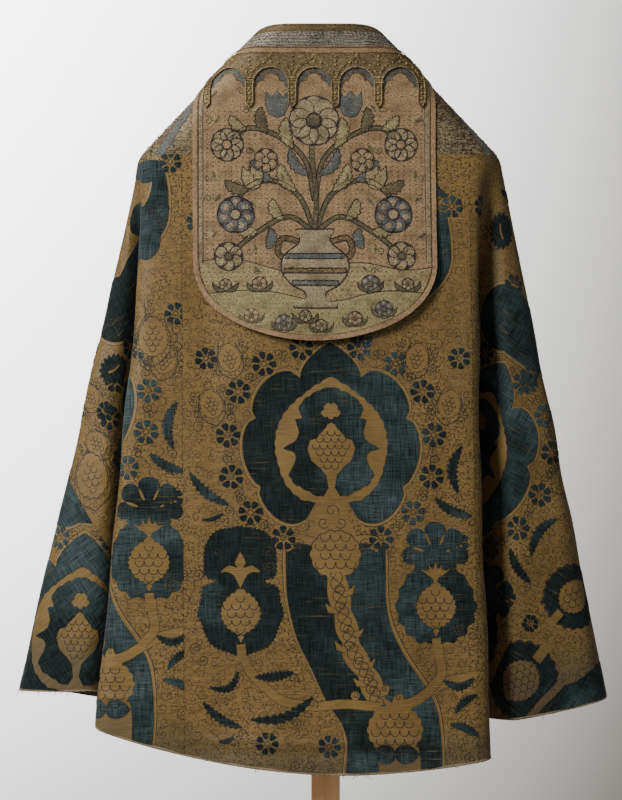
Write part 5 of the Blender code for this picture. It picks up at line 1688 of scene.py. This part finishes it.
floor = {"reach": 0.85, "solid": 0.45}
ring = polar((0.0, 0.0), np.arange(0, 360, 5), floor["reach"])
disc = bpy.data.meshes.new("paleFloor")
wedges = [(0, n + 1, (n + 1) % len(ring) + 1) for n in range(len(ring))]
disc.from_pydata([(0, 0, 0)] + [(x, y, 0) for x, y in ring], [], wedges)
floorFinish = Finish("paleFloor")
where = floorFinish.place()
reach = floorFinish.node("ShaderNodeVectorMath", {"operation": "LENGTH"}, {0: where}, "Value")
fleck = floorFinish.noise(where, 30, 3)
disc.materials.append(floorFinish.surface(floorFinish.mix(tone(206, 203, 198), tone(214, 211, 206), fleck), 0.9))
solid = floorFinish.ramp(reach, floor["reach"] - 0.02, floor["solid"])
floorFinish.tree.links.new(solid.socket, floorFinish.shader.inputs["Alpha"])
floorPiece = bpy.data.objects.new("paleFloor", disc)
bpy.context.scene.collection.objects.link(floorPiece)


def softbox(name, place, aim, size, power, colour=(1, 1, 1)):
    lamp = bpy.data.lights.new(name, "AREA")
    lamp.shape, lamp.size, lamp.size_y = "RECTANGLE", size[0], size[1]
    lamp.energy, lamp.color = power, colour
    made = bpy.data.objects.new(name, lamp)
    bpy.context.scene.collection.objects.link(made)
    made.location = place
    made.rotation_euler = (Vector(aim) - Vector(place)).to_track_quat("-Z", "Y").to_euler()


lights = {"key": 177.0, "fill": 4.0, "top": 22.0, "front": 110.0, "air": 0.155}
softbox("keyLight", (-2.8, -2.6, 2.9), (0.0, 0.0, 1.0), (1.6, 1.6), lights["key"], (1.0, 0.985, 0.96))
softbox("fillLight", (3.2, -2.8, 1.6), (0.0, 0.0, 0.9), (2.0, 2.0), lights["fill"], (1.0, 0.96, 0.92))
softbox("topLight", (-0.8, 0.2, 3.6), (0.0, 0.4, 1.0), (2.4, 1.6), lights["top"])
softbox("frontLight", (-1.4, 3.8, 2.3), (0.0, 0.2, 0.9), (1.8, 1.8), lights["front"], (1.0, 0.98, 0.95))
# The backdrop is the air itself, with painted light: paler to the left and above and painted shade to the right and
# below, as seen; it lights the piece only softly
backdrop = {"paintedLitLow": (1.75, 1.74, 1.72, 1), "paintedLitHigh": (6.5, 6.5, 6.5, 1), "paintedShadeLow": (0.205, 0.185, 0.158, 1),
            "paintedShadeHigh": (1.02, 0.99, 0.935, 1)}
world = bpy.data.worlds.new("studioAir")
air = Finish("studioAir", world)
way = air.node("ShaderNodeTexCoord", {}, {}, "Generated")
across, rise = air.part(way, 0), air.part(way, 2)
# Painted light falloff on the backdrop, seen by the camera alone: brighter to the left and above, darker to the right
# and below
low = air.mix(backdrop["paintedLitLow"], backdrop["paintedShadeLow"], air.ramp(across, -0.125, 0.125))
high = air.mix(backdrop["paintedLitHigh"], backdrop["paintedShadeHigh"], air.ramp(across, -0.125, 0.125))
seen = air.mix(low, high, air.ramp(rise, -0.155, 0.155))
toCamera = air.node("ShaderNodeLightPath", {}, {}, "Is Camera Ray")
soft = air.node("ShaderNodeBackground", {}, {"Color": (1.0, 0.985, 0.965, 1), "Strength": lights["air"]})
shown = air.node("ShaderNodeBackground", {}, {"Color": seen, "Strength": 1.0})
mixed = air.node("ShaderNodeMixShader", {}, {0: toCamera, 1: soft, 2: shown})
world.node_tree.links.new(mixed.socket, world.node_tree.nodes["World Output"].inputs["Surface"])
bpy.context.scene.world = world
print("camera and lights set")

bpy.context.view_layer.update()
total = 0
for piece in ride:
    piece.data.calc_loop_triangles()
    total += len(piece.data.loop_triangles)
print("pieces", len(ride), "triangles", total)
